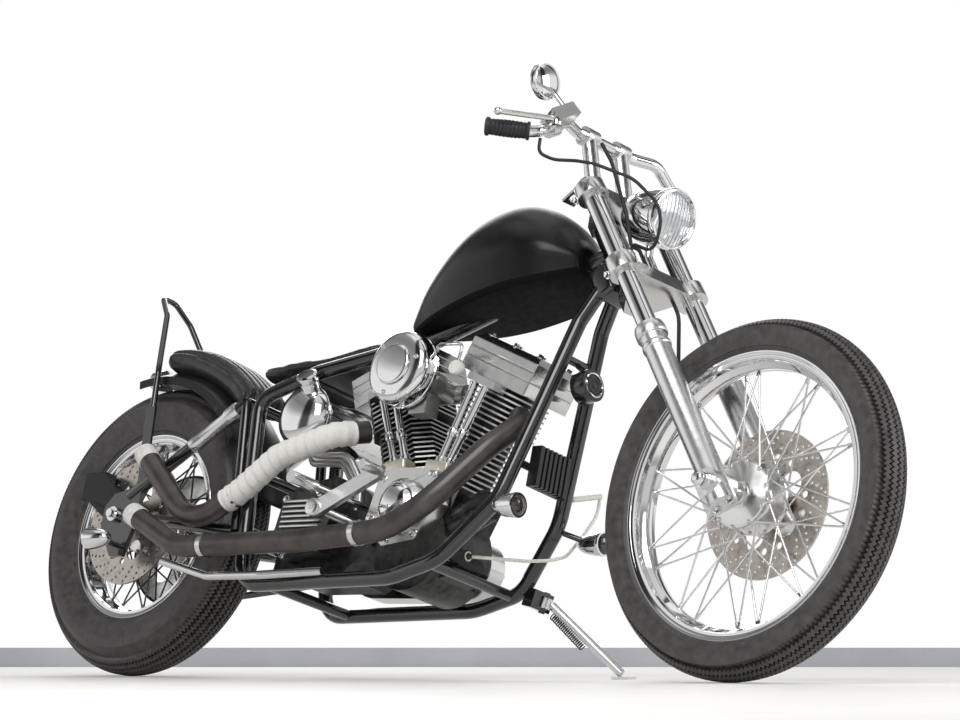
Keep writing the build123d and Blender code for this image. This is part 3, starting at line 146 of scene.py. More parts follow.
def finish(name, dark, light, smooth, rough, metallic=0.0, coat=0.0, scale=40.0, relief=0.0):
    """Material whose tone and roughness wander between two values over the piece."""
    material = bpy.data.materials.new(name)
    material.use_nodes = True
    nodes, link = material.node_tree.nodes, material.node_tree.links.new
    shader = nodes["Principled BSDF"]
    place = nodes.new("ShaderNodeTexCoord")
    vary = nodes.new("ShaderNodeGroup")
    vary.node_tree = surface
    for socket, value in (("Scale", scale), ("Dark", (*dark, 1)), ("Light", (*light, 1)), ("Smooth", smooth),
                          ("Rough", rough), ("Relief", relief)):
        vary.inputs[socket].default_value = value
    shader.inputs["Metallic"].default_value = metallic
    shader.inputs["Coat Weight"].default_value = coat
    shader.inputs["Coat Roughness"].default_value = 0.06
    link(place.outputs["Object"], vary.inputs["Vector"])
    link(vary.outputs["Color"], shader.inputs["Base Color"])
    link(vary.outputs["Roughness"], shader.inputs["Roughness"])
    link(vary.outputs["Normal"], shader.inputs["Normal"])
    return material


chrome = finish("chrome", (0.72, 0.72, 0.73), (0.79, 0.79, 0.80), 0.04, 0.09, metallic=1.0, scale=14)
polish = finish("polished_alloy", (0.67, 0.67, 0.66), (0.73, 0.73, 0.72), 0.17, 0.25, metallic=1.0, scale=50)
satin = finish("satin_alloy", (0.71, 0.71, 0.71), (0.76, 0.76, 0.76), 0.26, 0.32, metallic=1.0, scale=70)
cast = finish("cast_alloy", (0.42, 0.42, 0.41), (0.60, 0.60, 0.58), 0.30, 0.46, metallic=1.0, scale=240,
              relief=0.15)
dark_cast = finish("dark_cast", (0.030, 0.030, 0.031), (0.085, 0.085, 0.083), 0.26, 0.44, metallic=0.8,
                   scale=60, relief=0.06)
dark_steel = finish("dark_steel", (0.045, 0.043, 0.042), (0.12, 0.115, 0.11), 0.26, 0.4, metallic=1.0,
                    scale=60)
disc_steel = finish("disc_steel", (0.40, 0.365, 0.325), (0.60, 0.56, 0.51), 0.24, 0.38, metallic=1.0,
                    scale=90)
gloss_black = finish("gloss_black", (0.005, 0.005, 0.006), (0.012, 0.012, 0.013), 0.12, 0.24, coat=1.0,
                     scale=30)
satin_black = finish("satin_black", (0.004, 0.004, 0.0045), (0.008, 0.008, 0.0085), 0.26, 0.34, scale=16)
satin_black.node_tree.nodes["Principled BSDF"].inputs["Specular IOR Level"].default_value = 0.32
burnt = finish("burnt_steel", (0.062, 0.054, 0.051), (0.105, 0.094, 0.090), 0.28, 0.42, metallic=0.6,
               scale=24, relief=0.03)
rubber = finish("rubber", (0.008, 0.008, 0.008), (0.018, 0.018, 0.018), 0.45, 0.65, scale=200)
plastic = finish("plastic", (0.008, 0.008, 0.008), (0.016, 0.016, 0.016), 0.3, 0.45, scale=150)
hide = finish("hide", (0.020, 0.019, 0.019), (0.034, 0.032, 0.032), 0.32, 0.44, scale=420, relief=0.06)
sheath = finish("white_sheath", (0.62, 0.61, 0.56), (0.76, 0.75, 0.70), 0.35, 0.5, scale=160)
FINISHES = {               # finish of each of the record's slots
    "frame_paint": gloss_black, "tank_paint": satin_black, "chrome": chrome, "alloy": polish,
    "steel": disc_steel, "iron": cast, "exhaust": burnt, "tyre": rubber, "rubber": rubber, "leather": hide,
    "plastic": plastic, "glass": chrome, "belt": rubber,
}
OWN_FINISH = {             # pieces that differ from their slot
    "sissy_bar": gloss_black, "clutch_cable": sheath, "fork_sliders": satin, "side_stand": satin,
    "engine_case": dark_cast, "gearbox": dark_cast, "carburettor": cast, "front_caliper": satin,
    "rear_caliper": satin_black, "swingarm": gloss_black, "rear_spokes": dark_steel,
    "exhaust_bracket": polish, "brake_pedal": satin, "signals": gloss_black, "horn": gloss_black,
}
for part in frame["record"]["subparts"]:
    mesh = frame["nodes"][part["node"]].data
    mesh.materials.clear()
    mesh.materials.append(OWN_FINISH.get(part["node"], FINISHES[part["material_slot"]]))

# Worn edges of castings and forgings
# Cast and forged pieces have no knife edges, so their CAD solids get a small rounding, each of its
# own radius.
ROUNDINGS = {              # node, radius
    "lower_clamp": 0.004, "top_clamp": 0.003, "front_caliper": 0.005, "rear_caliper": 0.005,
    "rocker_box_front": 0.002, "rocker_box_rear": 0.002, "cam_cover": 0.005, "gearbox": 0.003,
    "engine_case": 0.005, "regulator": 0.0008, "brake_lever": 0.004, "risers": 0.002,
    "brake_pedal": 0.004, "carburettor": 0.004, "fork_sliders": 0.0025, "foot_pegs": 0.003,
    "oil_tank": 0.004, "rear_pulley": 0.0015, "swingarm": 0.002, "horn": 0.004, "tail_light": 0.005,
    "front_axle": 0.0015, "rear_axle": 0.0015, "rear_fender": 0.001, "sissy_bar": 0.001,
}
for node, radius in ROUNDINGS.items():
    weld = frame["nodes"][node].modifiers.new("weld", "WELD")
    weld.merge_threshold = 0.00002
    rounding = frame["nodes"][node].modifiers.new("rounding", "BEVEL")
    rounding.width = radius
    rounding.segments = 3
    rounding.limit_method = "ANGLE"
    rounding.angle_limit = math.radians(35)


def piece(name, bm, material, body, place, smooth=math.radians(40)):
    """Object from a finished bmesh drawn in some axes, riding on a body."""
    bmesh.ops.recalc_face_normals(bm, faces=bm.faces)
    bmesh.ops.transform(bm, matrix=place, verts=bm.verts)
    mesh = bpy.data.meshes.new(name)
    bm.to_mesh(mesh)
    bm.free()
    mesh.materials.append(material)
    mesh.shade_smooth()
    mesh.set_sharp_from_angle(angle=smooth)
    obj = bpy.data.objects.new(name, mesh)
    bpy.context.scene.collection.objects.link(obj)
    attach(obj, body)
    return obj


# Tyres
# Old-pattern rubber tyres moulded with zigzag ribs over the crown and thin rings on the side walls,
# stretched over the rims' flanges. The walls are faded and finely cracked.
FRONT_FLANGE_R, REAR_FLANGE_R = 0.281, 0.2175      # outside of the rims' edges
FRONT_RIM_HALF, REAR_RIM_HALF = 0.033, 0.045       # half the rims' width
TREAD_SWING = 0.0034                               # sideways step of the zigzag ribs
tyre_rubber = finish("tyre_rubber", (0.034, 0.031, 0.0305), (0.072, 0.066, 0.065), 0.40, 0.58, scale=60,
                     relief=0.45)


def tyre(name, node, body, hub, tyre_r, crown_r, half_width, flange_r, rim_half, teeth, ribs):
    """Spun tyre whose tread columns swing sideways from step to step."""
    centre = tyre_r - crown_r
    groove, depth = math.radians(3.6), 0.007
    edge = math.radians(50)
    tread = []
    for rib in range(ribs):
        low = -edge + 2 * edge * rib / ribs
        high = -edge + 2 * edge * (rib + 1) / ribs
        tread += [(low, depth), (low + groove, 0.0), (high - groove, 0.0)]
    tread.append((edge, depth))
    profile = []
    for angle, sunk in tread:
        profile.append((centre + (crown_r - sunk) * math.cos(angle), (crown_r - sunk) * math.sin(angle)))
    widest_r = (tyre_r + flange_r) / 2
    wall = [(widest_r + 0.012, half_width - 0.0015), (widest_r, half_width),
            (widest_r - 0.012, half_width - 0.0008), (flange_r + 0.012, rim_half + 0.0065),
            (flange_r + 0.0085, rim_half + 0.0062), (flange_r + 0.007, rim_half + 0.0035),
            (flange_r + 0.001, rim_half + 0.001), (flange_r - 0.004, rim_half - 0.004)]
    profile = [(r, -y) for r, y in reversed(wall)] + profile + wall
    bm = bmesh.new()
    points = [bm.verts.new((r, y, 0)) for r, y in profile]
    lines = [bm.edges.new(pair) for pair in zip(points, points[1:])]
    bmesh.ops.spin(bm, geom=points + lines, cent=(0, 0, 0), axis=(0, 1, 0), angle=2 * math.pi,
                   steps=2 * teeth, use_merge=True)
    swing = TREAD_SWING / crown_r
    for vert in bm.verts:
        radius = math.hypot(vert.co.x, vert.co.z)
        around = math.atan2(vert.co.z, vert.co.x)
        angle = math.atan2(vert.co.y, radius - centre)
        if abs(angle) > edge + 0.01 or radius < centre:
            continue
        step = round(around / (math.pi / teeth))
        angle += swing * (1 if step % 2 else -1)
        reach = math.hypot(vert.co.y, radius - centre)
        radius = centre + reach * math.cos(angle)
        vert.co = (radius * math.cos(around), reach * math.sin(angle), radius * math.sin(around))
    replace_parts(piece(name, bm, tyre_rubber, body, hub, math.radians(35)), node)


tyre("front_tyre_shown", "front_tyre", "front_wheel", front_hub, tyre_r=0.350, crown_r=0.044,
     half_width=0.046, flange_r=FRONT_FLANGE_R, rim_half=FRONT_RIM_HALF, teeth=210, ribs=5)
tyre("rear_tyre_shown", "rear_tyre", "rear_wheel", rear_hub, tyre_r=0.337, crown_r=0.065, half_width=0.065,
     flange_r=REAR_FLANGE_R, rim_half=REAR_RIM_HALF, teeth=200, ribs=7)

# Rims
# Rolled steel, chromed: a turned-over lip at each edge, a bead seat and a drop centre in the middle.
side_on = axes((0, 0, 0), (1, 0, 0), (0, 0, -1))       # z along an axle, to the left


def spun(profile, steps, closed=False):
    """Bmesh of a (radius, height) profile spun about z."""
    bm = bmesh.new()
    points = [bm.verts.new((radius, 0, height)) for radius, height in profile]
    lines = [bm.edges.new(pair) for pair in zip(points, points[1:])]
    if closed:
        lines.append(bm.edges.new((points[-1], points[0])))
    bmesh.ops.spin(bm, geom=points + lines, cent=(0, 0, 0), axis=(0, 0, 1), angle=2 * math.pi, steps=steps,
                   use_merge=True)
    bmesh.ops.remove_doubles(bm, verts=bm.verts, dist=1e-6)
    return bm


def rim(name, node, body, hub, flange_r, edge):
    """Rim from one half of its section and its mirror."""
    seat, well, wall = flange_r - 0.014, flange_r - 0.026, 0.004
    inner = [(flange_r, edge - 0.001), (flange_r - 0.001, edge), (flange_r - 0.004, edge - 0.0002),
             (flange_r - 0.0065, edge - 0.002), (flange_r - 0.012, edge - 0.0042),
             (seat - wall + 0.001, edge - 0.0038), (seat - wall, edge - 0.0055),
             (seat - wall, edge - 0.014), (seat - wall - 0.002, edge - 0.017),
             (well - wall + 0.002, 0.0105), (well - wall, 0.008)]
    outer = [(well, 0.009), (seat, edge - 0.015), (seat, edge - wall), (flange_r, edge - wall)]
    half = outer + inner
    profile = half + [(r, -y) for r, y in reversed(half)]
    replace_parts(piece(name, spun(profile, 128, closed=True), chrome, body, hub @ side_on), node)


rim("front_rim_shown", "front_rim", "front_wheel", front_hub, FRONT_FLANGE_R, FRONT_RIM_HALF)
rim("rear_rim_shown", "rear_rim", "rear_wheel", rear_hub, REAR_FLANGE_R, REAR_RIM_HALF)

# Hubs
# Turned alloy spools, polished, with rounded spoke flanges and a bearing boss at each end.
FRONT_BARREL_R, REAR_BARREL_R = 0.027, 0.034       # between the spoke flanges
FRONT_HUB_R, REAR_HUB_R = 0.066, 0.062             # over the spoke flanges
FRONT_HUB_Y, REAR_HUB_Y = 0.030, 0.038             # each flange from the wheel's middle


def hub_spool(name, node, body, hub, half, flange_r, flange_y, barrel):
    """Hub from one half of its section and its mirror."""
    boss, bore = barrel - 0.004, 0.0098
    section = [(bore, half), (boss - 0.001, half), (boss, half - 0.001), (boss, flange_y + 0.006),
               (boss + 0.005, flange_y + 0.0036), (flange_r - 0.002, flange_y + 0.0035),
               (flange_r, flange_y + 0.0018), (flange_r, flange_y - 0.0018),
               (flange_r - 0.002, flange_y - 0.0035), (barrel + 0.008, flange_y - 0.0038),
               (barrel + 0.002, flange_y - 0.008), (barrel, flange_y - 0.014)]
    profile = section + [(r, -y) for r, y in reversed(section)]
    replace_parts(piece(name, spun(profile, 64, closed=True), polish, body, hub @ side_on), node)


hub_spool("front_hub_shown", "front_hub", "front_wheel", front_hub, 0.046, FRONT_HUB_R, FRONT_HUB_Y,
          FRONT_BARREL_R)
hub_spool("rear_hub_shown", "rear_hub", "rear_wheel", rear_hub, 0.070, REAR_HUB_R, REAR_HUB_Y, REAR_BARREL_R)

# Spoke nipples and heads
# Each wire hooks into its flange with a round head and is drawn tight by a nipple through the rim.
NIPPLE = [(0.0, -0.002), (0.0036, -0.002), (0.0034, 0.004), (0.0029, 0.0045), (0.0027, 0.015), (0.0, 0.0155)]
SPOKE_HEAD = [(0.0, 0.0045), (0.0028, 0.0038), (0.0042, 0.0015), (0.0042, -0.001), (0.0, -0.001)]


def add(bm, other, place):
    """Join another bmesh into this one at some place."""
    bmesh.ops.transform(other, matrix=place, verts=other.verts)
    scrap = bpy.data.meshes.new("scrap")
    other.to_mesh(scrap)
    other.free()
    bm.from_mesh(scrap)
    bpy.data.meshes.remove(scrap)


def along(place, start, direction):
    """Axes at a point of some axes, z in a direction of theirs."""
    z_axis = Vector(direction).normalized()
    x_axis = z_axis.orthogonal().normalized()
    return place @ axes(start, x_axis, z_axis.cross(x_axis))


def spoke_ends(name, body, hub, flange_r, hub_flange_r, hub_flange_y):
    """Nipples at the rim and heads at the flanges, one pair to each wire."""
    root_r, tip_r = hub_flange_r - 0.003, flange_r - 0.027
    bm = bmesh.new()
    for side in (-1, 1):
        for number in range(20):
            leading = 1 if number % 2 else -1
            root_turn = math.radians((number + side / 4) * 18)
            tip_turn = root_turn + leading * math.radians(45)
            root_y = side * (hub_flange_y + leading * 0.0035)
            root = Vector((root_r * math.cos(root_turn), root_y, root_r * math.sin(root_turn)))
            tip = Vector((tip_r * math.cos(tip_turn), side * 0.0045, tip_r * math.sin(tip_turn)))
            add(bm, spun(NIPPLE, 8), along(Matrix.Identity(4), tip, root - tip))
            add(bm, spun(SPOKE_HEAD, 8), along(Matrix.Identity(4), root, (0, leading * side, 0)))
    piece(name, bm, chrome, body, hub)


spoke_ends("front_nipples", "front_wheel", front_hub, FRONT_FLANGE_R, FRONT_HUB_R, FRONT_HUB_Y)
spoke_ends("rear_nipples", "rear_wheel", rear_hub, REAR_FLANGE_R, REAR_HUB_R, REAR_HUB_Y)

# Brake discs
# Flat steel plates, browned by heat: rings of drilled holes through the braking band, round windows
# in the carrier, bolted to the hub's end.


def curve_bmesh(name, curve):
    """Bmesh of a curve, which is then removed."""
    holder = bpy.data.objects.new(name, curve)
    bpy.context.scene.collection.objects.link(holder)
    mesh = bpy.data.meshes.new_from_object(holder.evaluated_get(bpy.context.evaluated_depsgraph_get()))
    bpy.data.objects.remove(holder)
    bpy.data.curves.remove(curve)
    bm = bmesh.new()
    bm.from_mesh(mesh)
    bpy.data.meshes.remove(mesh)
    return bm


def flat_plate(name, circles, wall):
    """Bmesh of a plate lying in x and y, cut out by (x, y, radius, points) circles."""
    outline = bpy.data.curves.new(name, "CURVE")
    outline.dimensions = "2D"
    outline.fill_mode = "BOTH"
    outline.extrude = wall / 2
    for x, y, radius, count in circles:
        spline = outline.splines.new("POLY")
        spline.points.add(count - 1)
        for number, point in enumerate(spline.points):
            angle = 2 * math.pi * number / count
            point.co = (x + radius * math.cos(angle), y + radius * math.sin(angle), 0, 1)
        spline.use_cyclic_u = True
    bm = curve_bmesh(name, outline)
    bmesh.ops.remove_doubles(bm, verts=bm.verts, dist=1e-6)
    return bm


def bolt(radius, height):
    """Hexagon head on a washer, standing on z = 0."""
    bm = bmesh.new()
    bmesh.ops.create_cone(bm, cap_ends=True, segments=20, radius1=radius * 1.35, radius2=radius * 1.35,
                          depth=height * 0.2, matrix=Matrix.Translation((0, 0, height * 0.1)))
    bmesh.ops.create_cone(bm, cap_ends=True, segments=6, radius1=radius, radius2=radius, depth=height * 0.8,
                          matrix=Matrix.Translation((0, 0, height * 0.6)))
    top = [rim_edge for rim_edge in bm.edges if all(vert.co.z > height * 0.99 for vert in rim_edge.verts)]
    bmesh.ops.bevel(bm, geom=top, offset=radius * 0.16, offset_type="OFFSET", segments=2, profile=0.5,
                    affect="EDGES", material=-1)
    return bm


def bolts(name, body, material, radius, height, places):
    """Like bolts joined in one piece, each with its own axes."""
    bm = bmesh.new()
    for place in places:
        add(bm, bolt(radius, height), place)
    piece(name, bm, material, body, Matrix.Identity(4))


def brake_disc(name, node, body, hub, middle_y, barrel):
    """Drilled disc, and the bolts that hold it on its outer face."""
    outer, carrier = 0.146, 0.104
    circles = [(0, 0, outer, 120), (0, 0, 0.0138, 40)]
    for number in range(5):
        angle = -2 * math.pi * number / 5
        reach = (carrier + barrel) / 2
        circles.append((reach * math.cos(angle), reach * math.sin(angle), (carrier - barrel) / 3, 40))
        for offset in (-0.2, 0.2):
            aside = angle + math.pi / 5 + offset
            circles.append((0.092 * math.cos(aside), 0.092 * math.sin(aside), 0.0075, 16))
    for row, reach in enumerate((0.1105, 0.1205, 0.1305, 0.1395)):
        for number in range(24):
            angle = 2 * math.pi * (number + 0.27 * row) / 24
            circles.append((reach * math.cos(angle), reach * math.sin(angle), 0.0034, 10))
    place = hub @ Matrix.Translation((0, middle_y, 0)) @ side_on
    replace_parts(piece(name, flat_plate(name, circles, 0.005), disc_steel, body, place), node)
    outward = math.copysign(1, middle_y)
    bolt_places = []
    for number in range(5):
        turn = 2 * math.pi * number / 5
        start = (0.0185 * math.cos(turn), middle_y + outward * 0.0025, 0.0185 * math.sin(turn))
        bolt_places.append(along(hub, start, (0, outward, 0)))
    bolts(name + "_bolts", body, chrome, 0.0042, 0.005, bolt_places)


brake_disc("front_disc_shown", "front_disc", "front_wheel", front_hub, 0.0485, FRONT_BARREL_R)
brake_disc("rear_disc_shown", "rear_disc", "rear_wheel", rear_hub, -0.0725, REAR_BARREL_R)

# Fork legs
# Cast alloy sliders, satin, with a ring under the dust cap and the axle's pinch cap held below by two
# nuts. Chromed tubes run up into both clamps.
LEG_X, LEG_Y = 0.058, 0.102            # axle and legs from the steering axis
SLIDER_RING = [(0.0270, 0.336), (0.0288, 0.338), (0.0294, 0.342), (0.0294, 0.346), (0.0288, 0.349),
               (0.0270, 0.351)]
DUST_CAP = [(0.0302, 0.368), (0.0316, 0.370), (0.0316, 0.388), (0.0296, 0.3945), (0.0250, 0.3965),
            (0.0206, 0.3950)]
bm = bmesh.new()
nut_places = []
for side in (-1, 1):
    leg = Matrix.Translation((LEG_X, side * LEG_Y, 0))
    add(bm, spun(SLIDER_RING, 48), leg)
    add(bm, spun(DUST_CAP, 48), leg)
    for facing in (-1, 1):
        nut_places.append(along(fork, (LEG_X + facing * 0.017, side * LEG_Y, -0.0462), (0, 0, -1)))
piece("slider_dressing", bm, satin, "steering", fork)
for side in (-1, 1):
    for clamp_z in (0.559, 0.767):
        nut_places.append(along(fork, (LEG_X - 0.031, side * (LEG_Y + 0.012), clamp_z), (-0.4, side, 0)))
bolts("fork_nuts", "steering", chrome, 0.0068, 0.009, nut_places)
AXLE_CAP = [(0.0, 0.0165), (0.008, 0.016), (0.0125, 0.013), (0.0145, 0.008), (0.015, 0.0), (0.0, 0.0)]
bm = bmesh.new()
for side in (-1, 1):
    add(bm, spun(AXLE_CAP, 40), along(Matrix.Identity(4), (LEG_X, side * 0.1435, 0), (0, side, 0)))
piece("axle_caps", bm, chrome, "steering", fork)

# Neck gusset
# Box of folded steel, painted as the frame, between the upper ends of both down tubes and the back of the
# steering head. It stays with the frame when the fork turns.


def rounded_block(size, radius, segments):
    """Bmesh of a block about the origin with all its edges rounded."""
    bm = bmesh.new()
    bmesh.ops.create_cube(bm, size=1.0, matrix=Matrix.Diagonal((*size, 1)))
    bmesh.ops.bevel(bm, geom=bm.edges[:], offset=radius, offset_type="OFFSET", segments=segments,
                    profile=0.5, affect="EDGES", material=-1)
    return bm


straight_fork = upright @ Matrix.Translation(upright.inverted() @ fork_foot) @ rake
piece("neck_gusset", rounded_block((0.050, 0.078, 0.076), 0.012, 4), gloss_black, "chassis",
      straight_fork @ Matrix.Translation((-0.041, 0, 0.632)))

# Headlamp
# Chromed steel bullet with a bright ring, and a fluted glass lens bowed out in front of its reflector.
LAMP_TILT = math.radians(102)          # from the machine's upright, so the beam dips a little
headlamp = turned @ Matrix.Translation((NECK_X + 0.091, 0, 0.960)) @ Matrix.Rotation(LAMP_TILT, 4, "Y")
bullet = [(0.0605, 0.046), (0.0610, 0.030), (0.0595, 0.006), (0.0555, -0.018), (0.0480, -0.040),
          (0.0365, -0.056), (0.0200, -0.066), (0.0, -0.069)]
piece("headlamp_bullet", spun(bullet, 64), chrome, "steering", headlamp)
lamp_ring = [(0.0530, 0.0500), (0.0545, 0.0600), (0.0575, 0.0635), (0.0610, 0.0625), (0.0630, 0.0580),
             (0.0632, 0.0500), (0.0615, 0.0455), (0.0530, 0.0455)]
piece("headlamp_ring", spun(lamp_ring, 64, closed=True), chrome, "steering", headlamp)
lens_glass = finish("fluted_glass", (0.62, 0.64, 0.66), (0.80, 0.82, 0.84), 0.05, 0.12, metallic=0.55,
                    coat=1.0, scale=60)
nodes = lens_glass.node_tree.nodes
flutes = nodes.new("ShaderNodeTexWave")
flutes.bands_direction = "Y"
flutes.inputs["Scale"].default_value = 32.0
flute_place = nodes.new("ShaderNodeMapping")
flute_place.inputs["Rotation"].default_value = headlamp.inverted().to_euler()
flute_bump = nodes.new("ShaderNodeBump")
flute_bump.inputs["Distance"].default_value = 0.004
flute_bump.inputs["Strength"].default_value = 0.9
link = lens_glass.node_tree.links.new
link(nodes["Texture Coordinate"].outputs["Object"], flute_place.inputs["Vector"])
link(flute_place.outputs["Vector"], flutes.inputs["Vector"])
link(flutes.outputs["Fac"], flute_bump.inputs["Height"])
link(flute_bump.outputs["Normal"], nodes["Principled BSDF"].inputs["Normal"])
dome = [(0.0, 0.0640), (0.015, 0.0634), (0.030, 0.0616), (0.042, 0.0588), (0.0535, 0.0545),
        (0.0535, 0.0485), (0.0, 0.0485)]
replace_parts(piece("headlamp_glass", spun(dome, 64), lens_glass, "steering", headlamp),
            "headlamp_lens")

# Grips, lever and mirror
# Black rubber grips ribbed for the fingers, a polished lever with a ball end, and a round mirror in a
# chromed shell whose glass faces the rider.
bar_ends = []
for side in (-1, 1):
    tip = Vector((NECK_X - 0.125, side * 0.285, 1.089))
    bar_ends.append((tip, Vector((NECK_X - 0.057, side * 0.216, 1.091)) - tip))
bm = bmesh.new()
for tip, run in bar_ends:
    grip = [(0.0, -0.0085), (0.0130, -0.0080), (0.0185, -0.0060), (0.0195, -0.0030), (0.0190, 0.0010),
            (0.0165, 0.0030)]
    for number in range(9):
        start = 0.006 + number * 0.0078
        swell = 0.0168 + 0.0012 * math.sin(math.pi * number / 8)
        grip += [(swell - 0.0008, start), (swell, start + 0.0012), (swell, start + 0.0056),
                 (swell - 0.0008, start + 0.0066)]
    grip += [(0.0172, 0.0775), (0.0192, 0.0790), (0.0192, 0.0835), (0.0160, 0.0845), (0.0131, 0.0840)]
    add(bm, spun(grip, 40), along(Matrix.Identity(4), tip, run))
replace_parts(piece("ribbed_grips", bm, rubber, "steering", turned, math.radians(30)), "grips")
bm = bmesh.new()
bmesh.ops.create_uvsphere(bm, u_segments=20, v_segments=12, radius=0.0085,
                          matrix=Matrix.Translation((NECK_X - 0.081, -0.306, 1.108)))
bmesh.ops.create_cone(bm, cap_ends=True, segments=24, radius1=0.010, radius2=0.010, depth=0.026,
                      matrix=Matrix.Translation((NECK_X - 0.021, -0.196, 1.120)))
piece("lever_ends", bm, polish, "steering", turned)
mirror_shell = [(0.0, 0.0155), (0.012, 0.0148), (0.022, 0.0126), (0.031, 0.0085), (0.0365, 0.0030),
                (0.0385, -0.0030), (0.0385, -0.0065), (0.0365, -0.0080), (0.0340, -0.0068)]
mirror = turned @ Matrix.Translation((NECK_X - 0.059, -0.208, 1.204)) @ Matrix.Rotation(math.radians(90), 4,
                                                                                        "Y")
piece("mirror_shell", spun(mirror_shell, 56), chrome, "steering", mirror)
silvered = finish("silvered_glass", (0.70, 0.72, 0.74), (0.78, 0.80, 0.82), 0.015, 0.03, metallic=1.0,
                  scale=12)
mirror_disc = [(0.0, -0.0066), (0.0345, -0.0064), (0.0345, -0.0062), (0.0, -0.0062)]
piece("mirror_glass", spun(mirror_disc, 56), silvered, "steering", mirror)

# Fuel tank
# Pressed steel teardrop, satin black, with its lower seam turned in. It straddles the backbone.
# Its underside carries painted shade: a darker, duller black than its sides.
TANK_TAIL, TANK_NOSE = 0.722, NECK_X - 0.049
TANK_SECTIONS = [          # share of the length, half width, underside, widest height, top
    (0.0, 0.026, 0.752, 0.766, 0.790),
    (0.167, 0.078, 0.756, 0.800, 0.893),
    (0.423, 0.122, 0.772, 0.850, 0.990),
    (0.669, 0.132, 0.795, 0.876, 1.012),
    (0.872, 0.112, 0.815, 0.882, 0.966),
    (1.0, 0.062, 0.842, 0.874, 0.898),
]


def between(table, at):
    """Row of a table at some value of its first column, on a smooth curve through its rows."""
    last = len(table) - 1
    index = max(number for number in range(last) if table[number][0] <= at)
    low, high = table[index], table[index + 1]
    before, after = table[max(index - 1, 0)], table[min(index + 2, last)]
    span = high[0] - low[0]
    share = (at - low[0]) / span
    row = []
    for a, b, c, d in zip(before, low, high, after):
        start = (c - a) / (high[0] - before[0]) * span
        end = (d - b) / (after[0] - low[0]) * span
        row.append((2 * share ** 3 - 3 * share ** 2 + 1) * b + (share ** 3 - 2 * share ** 2 + share) * start
                   + (3 * share ** 2 - 2 * share ** 3) * c + (share ** 3 - share ** 2) * end)
    return row


def lofted(loops):
    """Bmesh of a closed form through rings of points, filled at both ends."""
    bm = bmesh.new()
    rings = []
    for loop in loops:
        points = [bm.verts.new(point) for point in loop]
        rings.append([bm.edges.new(pair) for pair in zip(points, points[1:] + points[:1])])
    for first, second in zip(rings, rings[1:]):
        bmesh.ops.bridge_loops(bm, edges=first + second)
    for ring_edges in (rings[0], rings[-1]):
        bmesh.ops.holes_fill(bm, edges=ring_edges, sides=0)
    return bm


def tank_ring(share, shrink):
    """Section of the tank: a bowed top over sides that run in to the seam."""
    _, half, low, middle, high = between(TANK_SECTIONS, share)
    x = TANK_TAIL + share * (TANK_NOSE - TANK_TAIL)
    rise_over = high - middle
    bow = (half ** 2 + rise_over ** 2) / (2 * rise_over)
    reach = math.atan2(half, bow - rise_over)
    loop = []
    for number in range(17):
        angle = reach * (1 - number / 8)
        loop.append((bow * math.sin(angle), high - bow + bow * math.cos(angle)))
    floor = 0.8 * half
    loop += [(-half * 0.93, middle * 0.65 + low * 0.35), (-floor * 1.02, low + 0.008), (-floor, low),
             (-floor * 0.6, low), (0.0, low), (floor * 0.6, low), (floor, low), (floor * 1.02, low + 0.008),
             (half * 0.93, middle * 0.65 + low * 0.35)]
    centre = (low + high) / 2
    return [(x, y * shrink, centre + (z - centre) * shrink) for y, z in loop]


shares = [(0.0, 0.72), (0.004, 0.93), (0.012, 1.0)] + [(number / 26, 1.0) for number in range(1, 26)]
shares += [(0.988, 1.0), (0.996, 0.95), (1.0, 0.80)]
tank_rings = [tank_ring(share, shrink) for share, shrink in shares]
tank = piece("tank_shell", lofted(tank_rings), satin_black, "chassis", upright,
             math.radians(60))
# Painted shade: the underside's black is darker and duller than the sides', standing in for the shade under the
# tank.
underside_painted_shade = finish("underside_painted_shade", (0.0020, 0.0020, 0.0020), (0.0036, 0.0036, 0.0036), 0.6, 0.75, scale=60)
underside_painted_shade.node_tree.nodes["Principled BSDF"].inputs["Specular IOR Level"].default_value = 0.12
tank.data.materials.append(underside_painted_shade)
to_upright = upright.inverted()
# Faces along the underside take the painted shade material.
for face in tank.data.polygons:
    middle = to_upright @ face.center
    share = min(max((middle.x - TANK_TAIL) / (TANK_NOSE - TANK_TAIL), 0.0), 0.9999)
    if middle.z < between(TANK_SECTIONS, share)[2] + 0.005:
        face.material_index = 1
skin = tank.modifiers.new("smooth", "SUBSURF")
skin.levels = 1
skin.render_levels = 1
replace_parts(tank, "fuel_tank")

# Engine cylinders
# Cast iron barrels and alloy heads painted black, with the fins' edges ground bright.
CRANK = Vector((0.878, 0, 0.265))      # where both bores meet
BORE_LEAN = math.radians(22.5)
FIN_ROOT_R = 0.0515                    # the fins' edges lie outside it


def operation(nodes, kind, name, second=None):
    """Node that does one sum, with its second input set where it is a fixed one."""
    node = nodes.new(kind)
    node.operation = name
    if second is not None:
        node.inputs[1].default_value = second
    return node


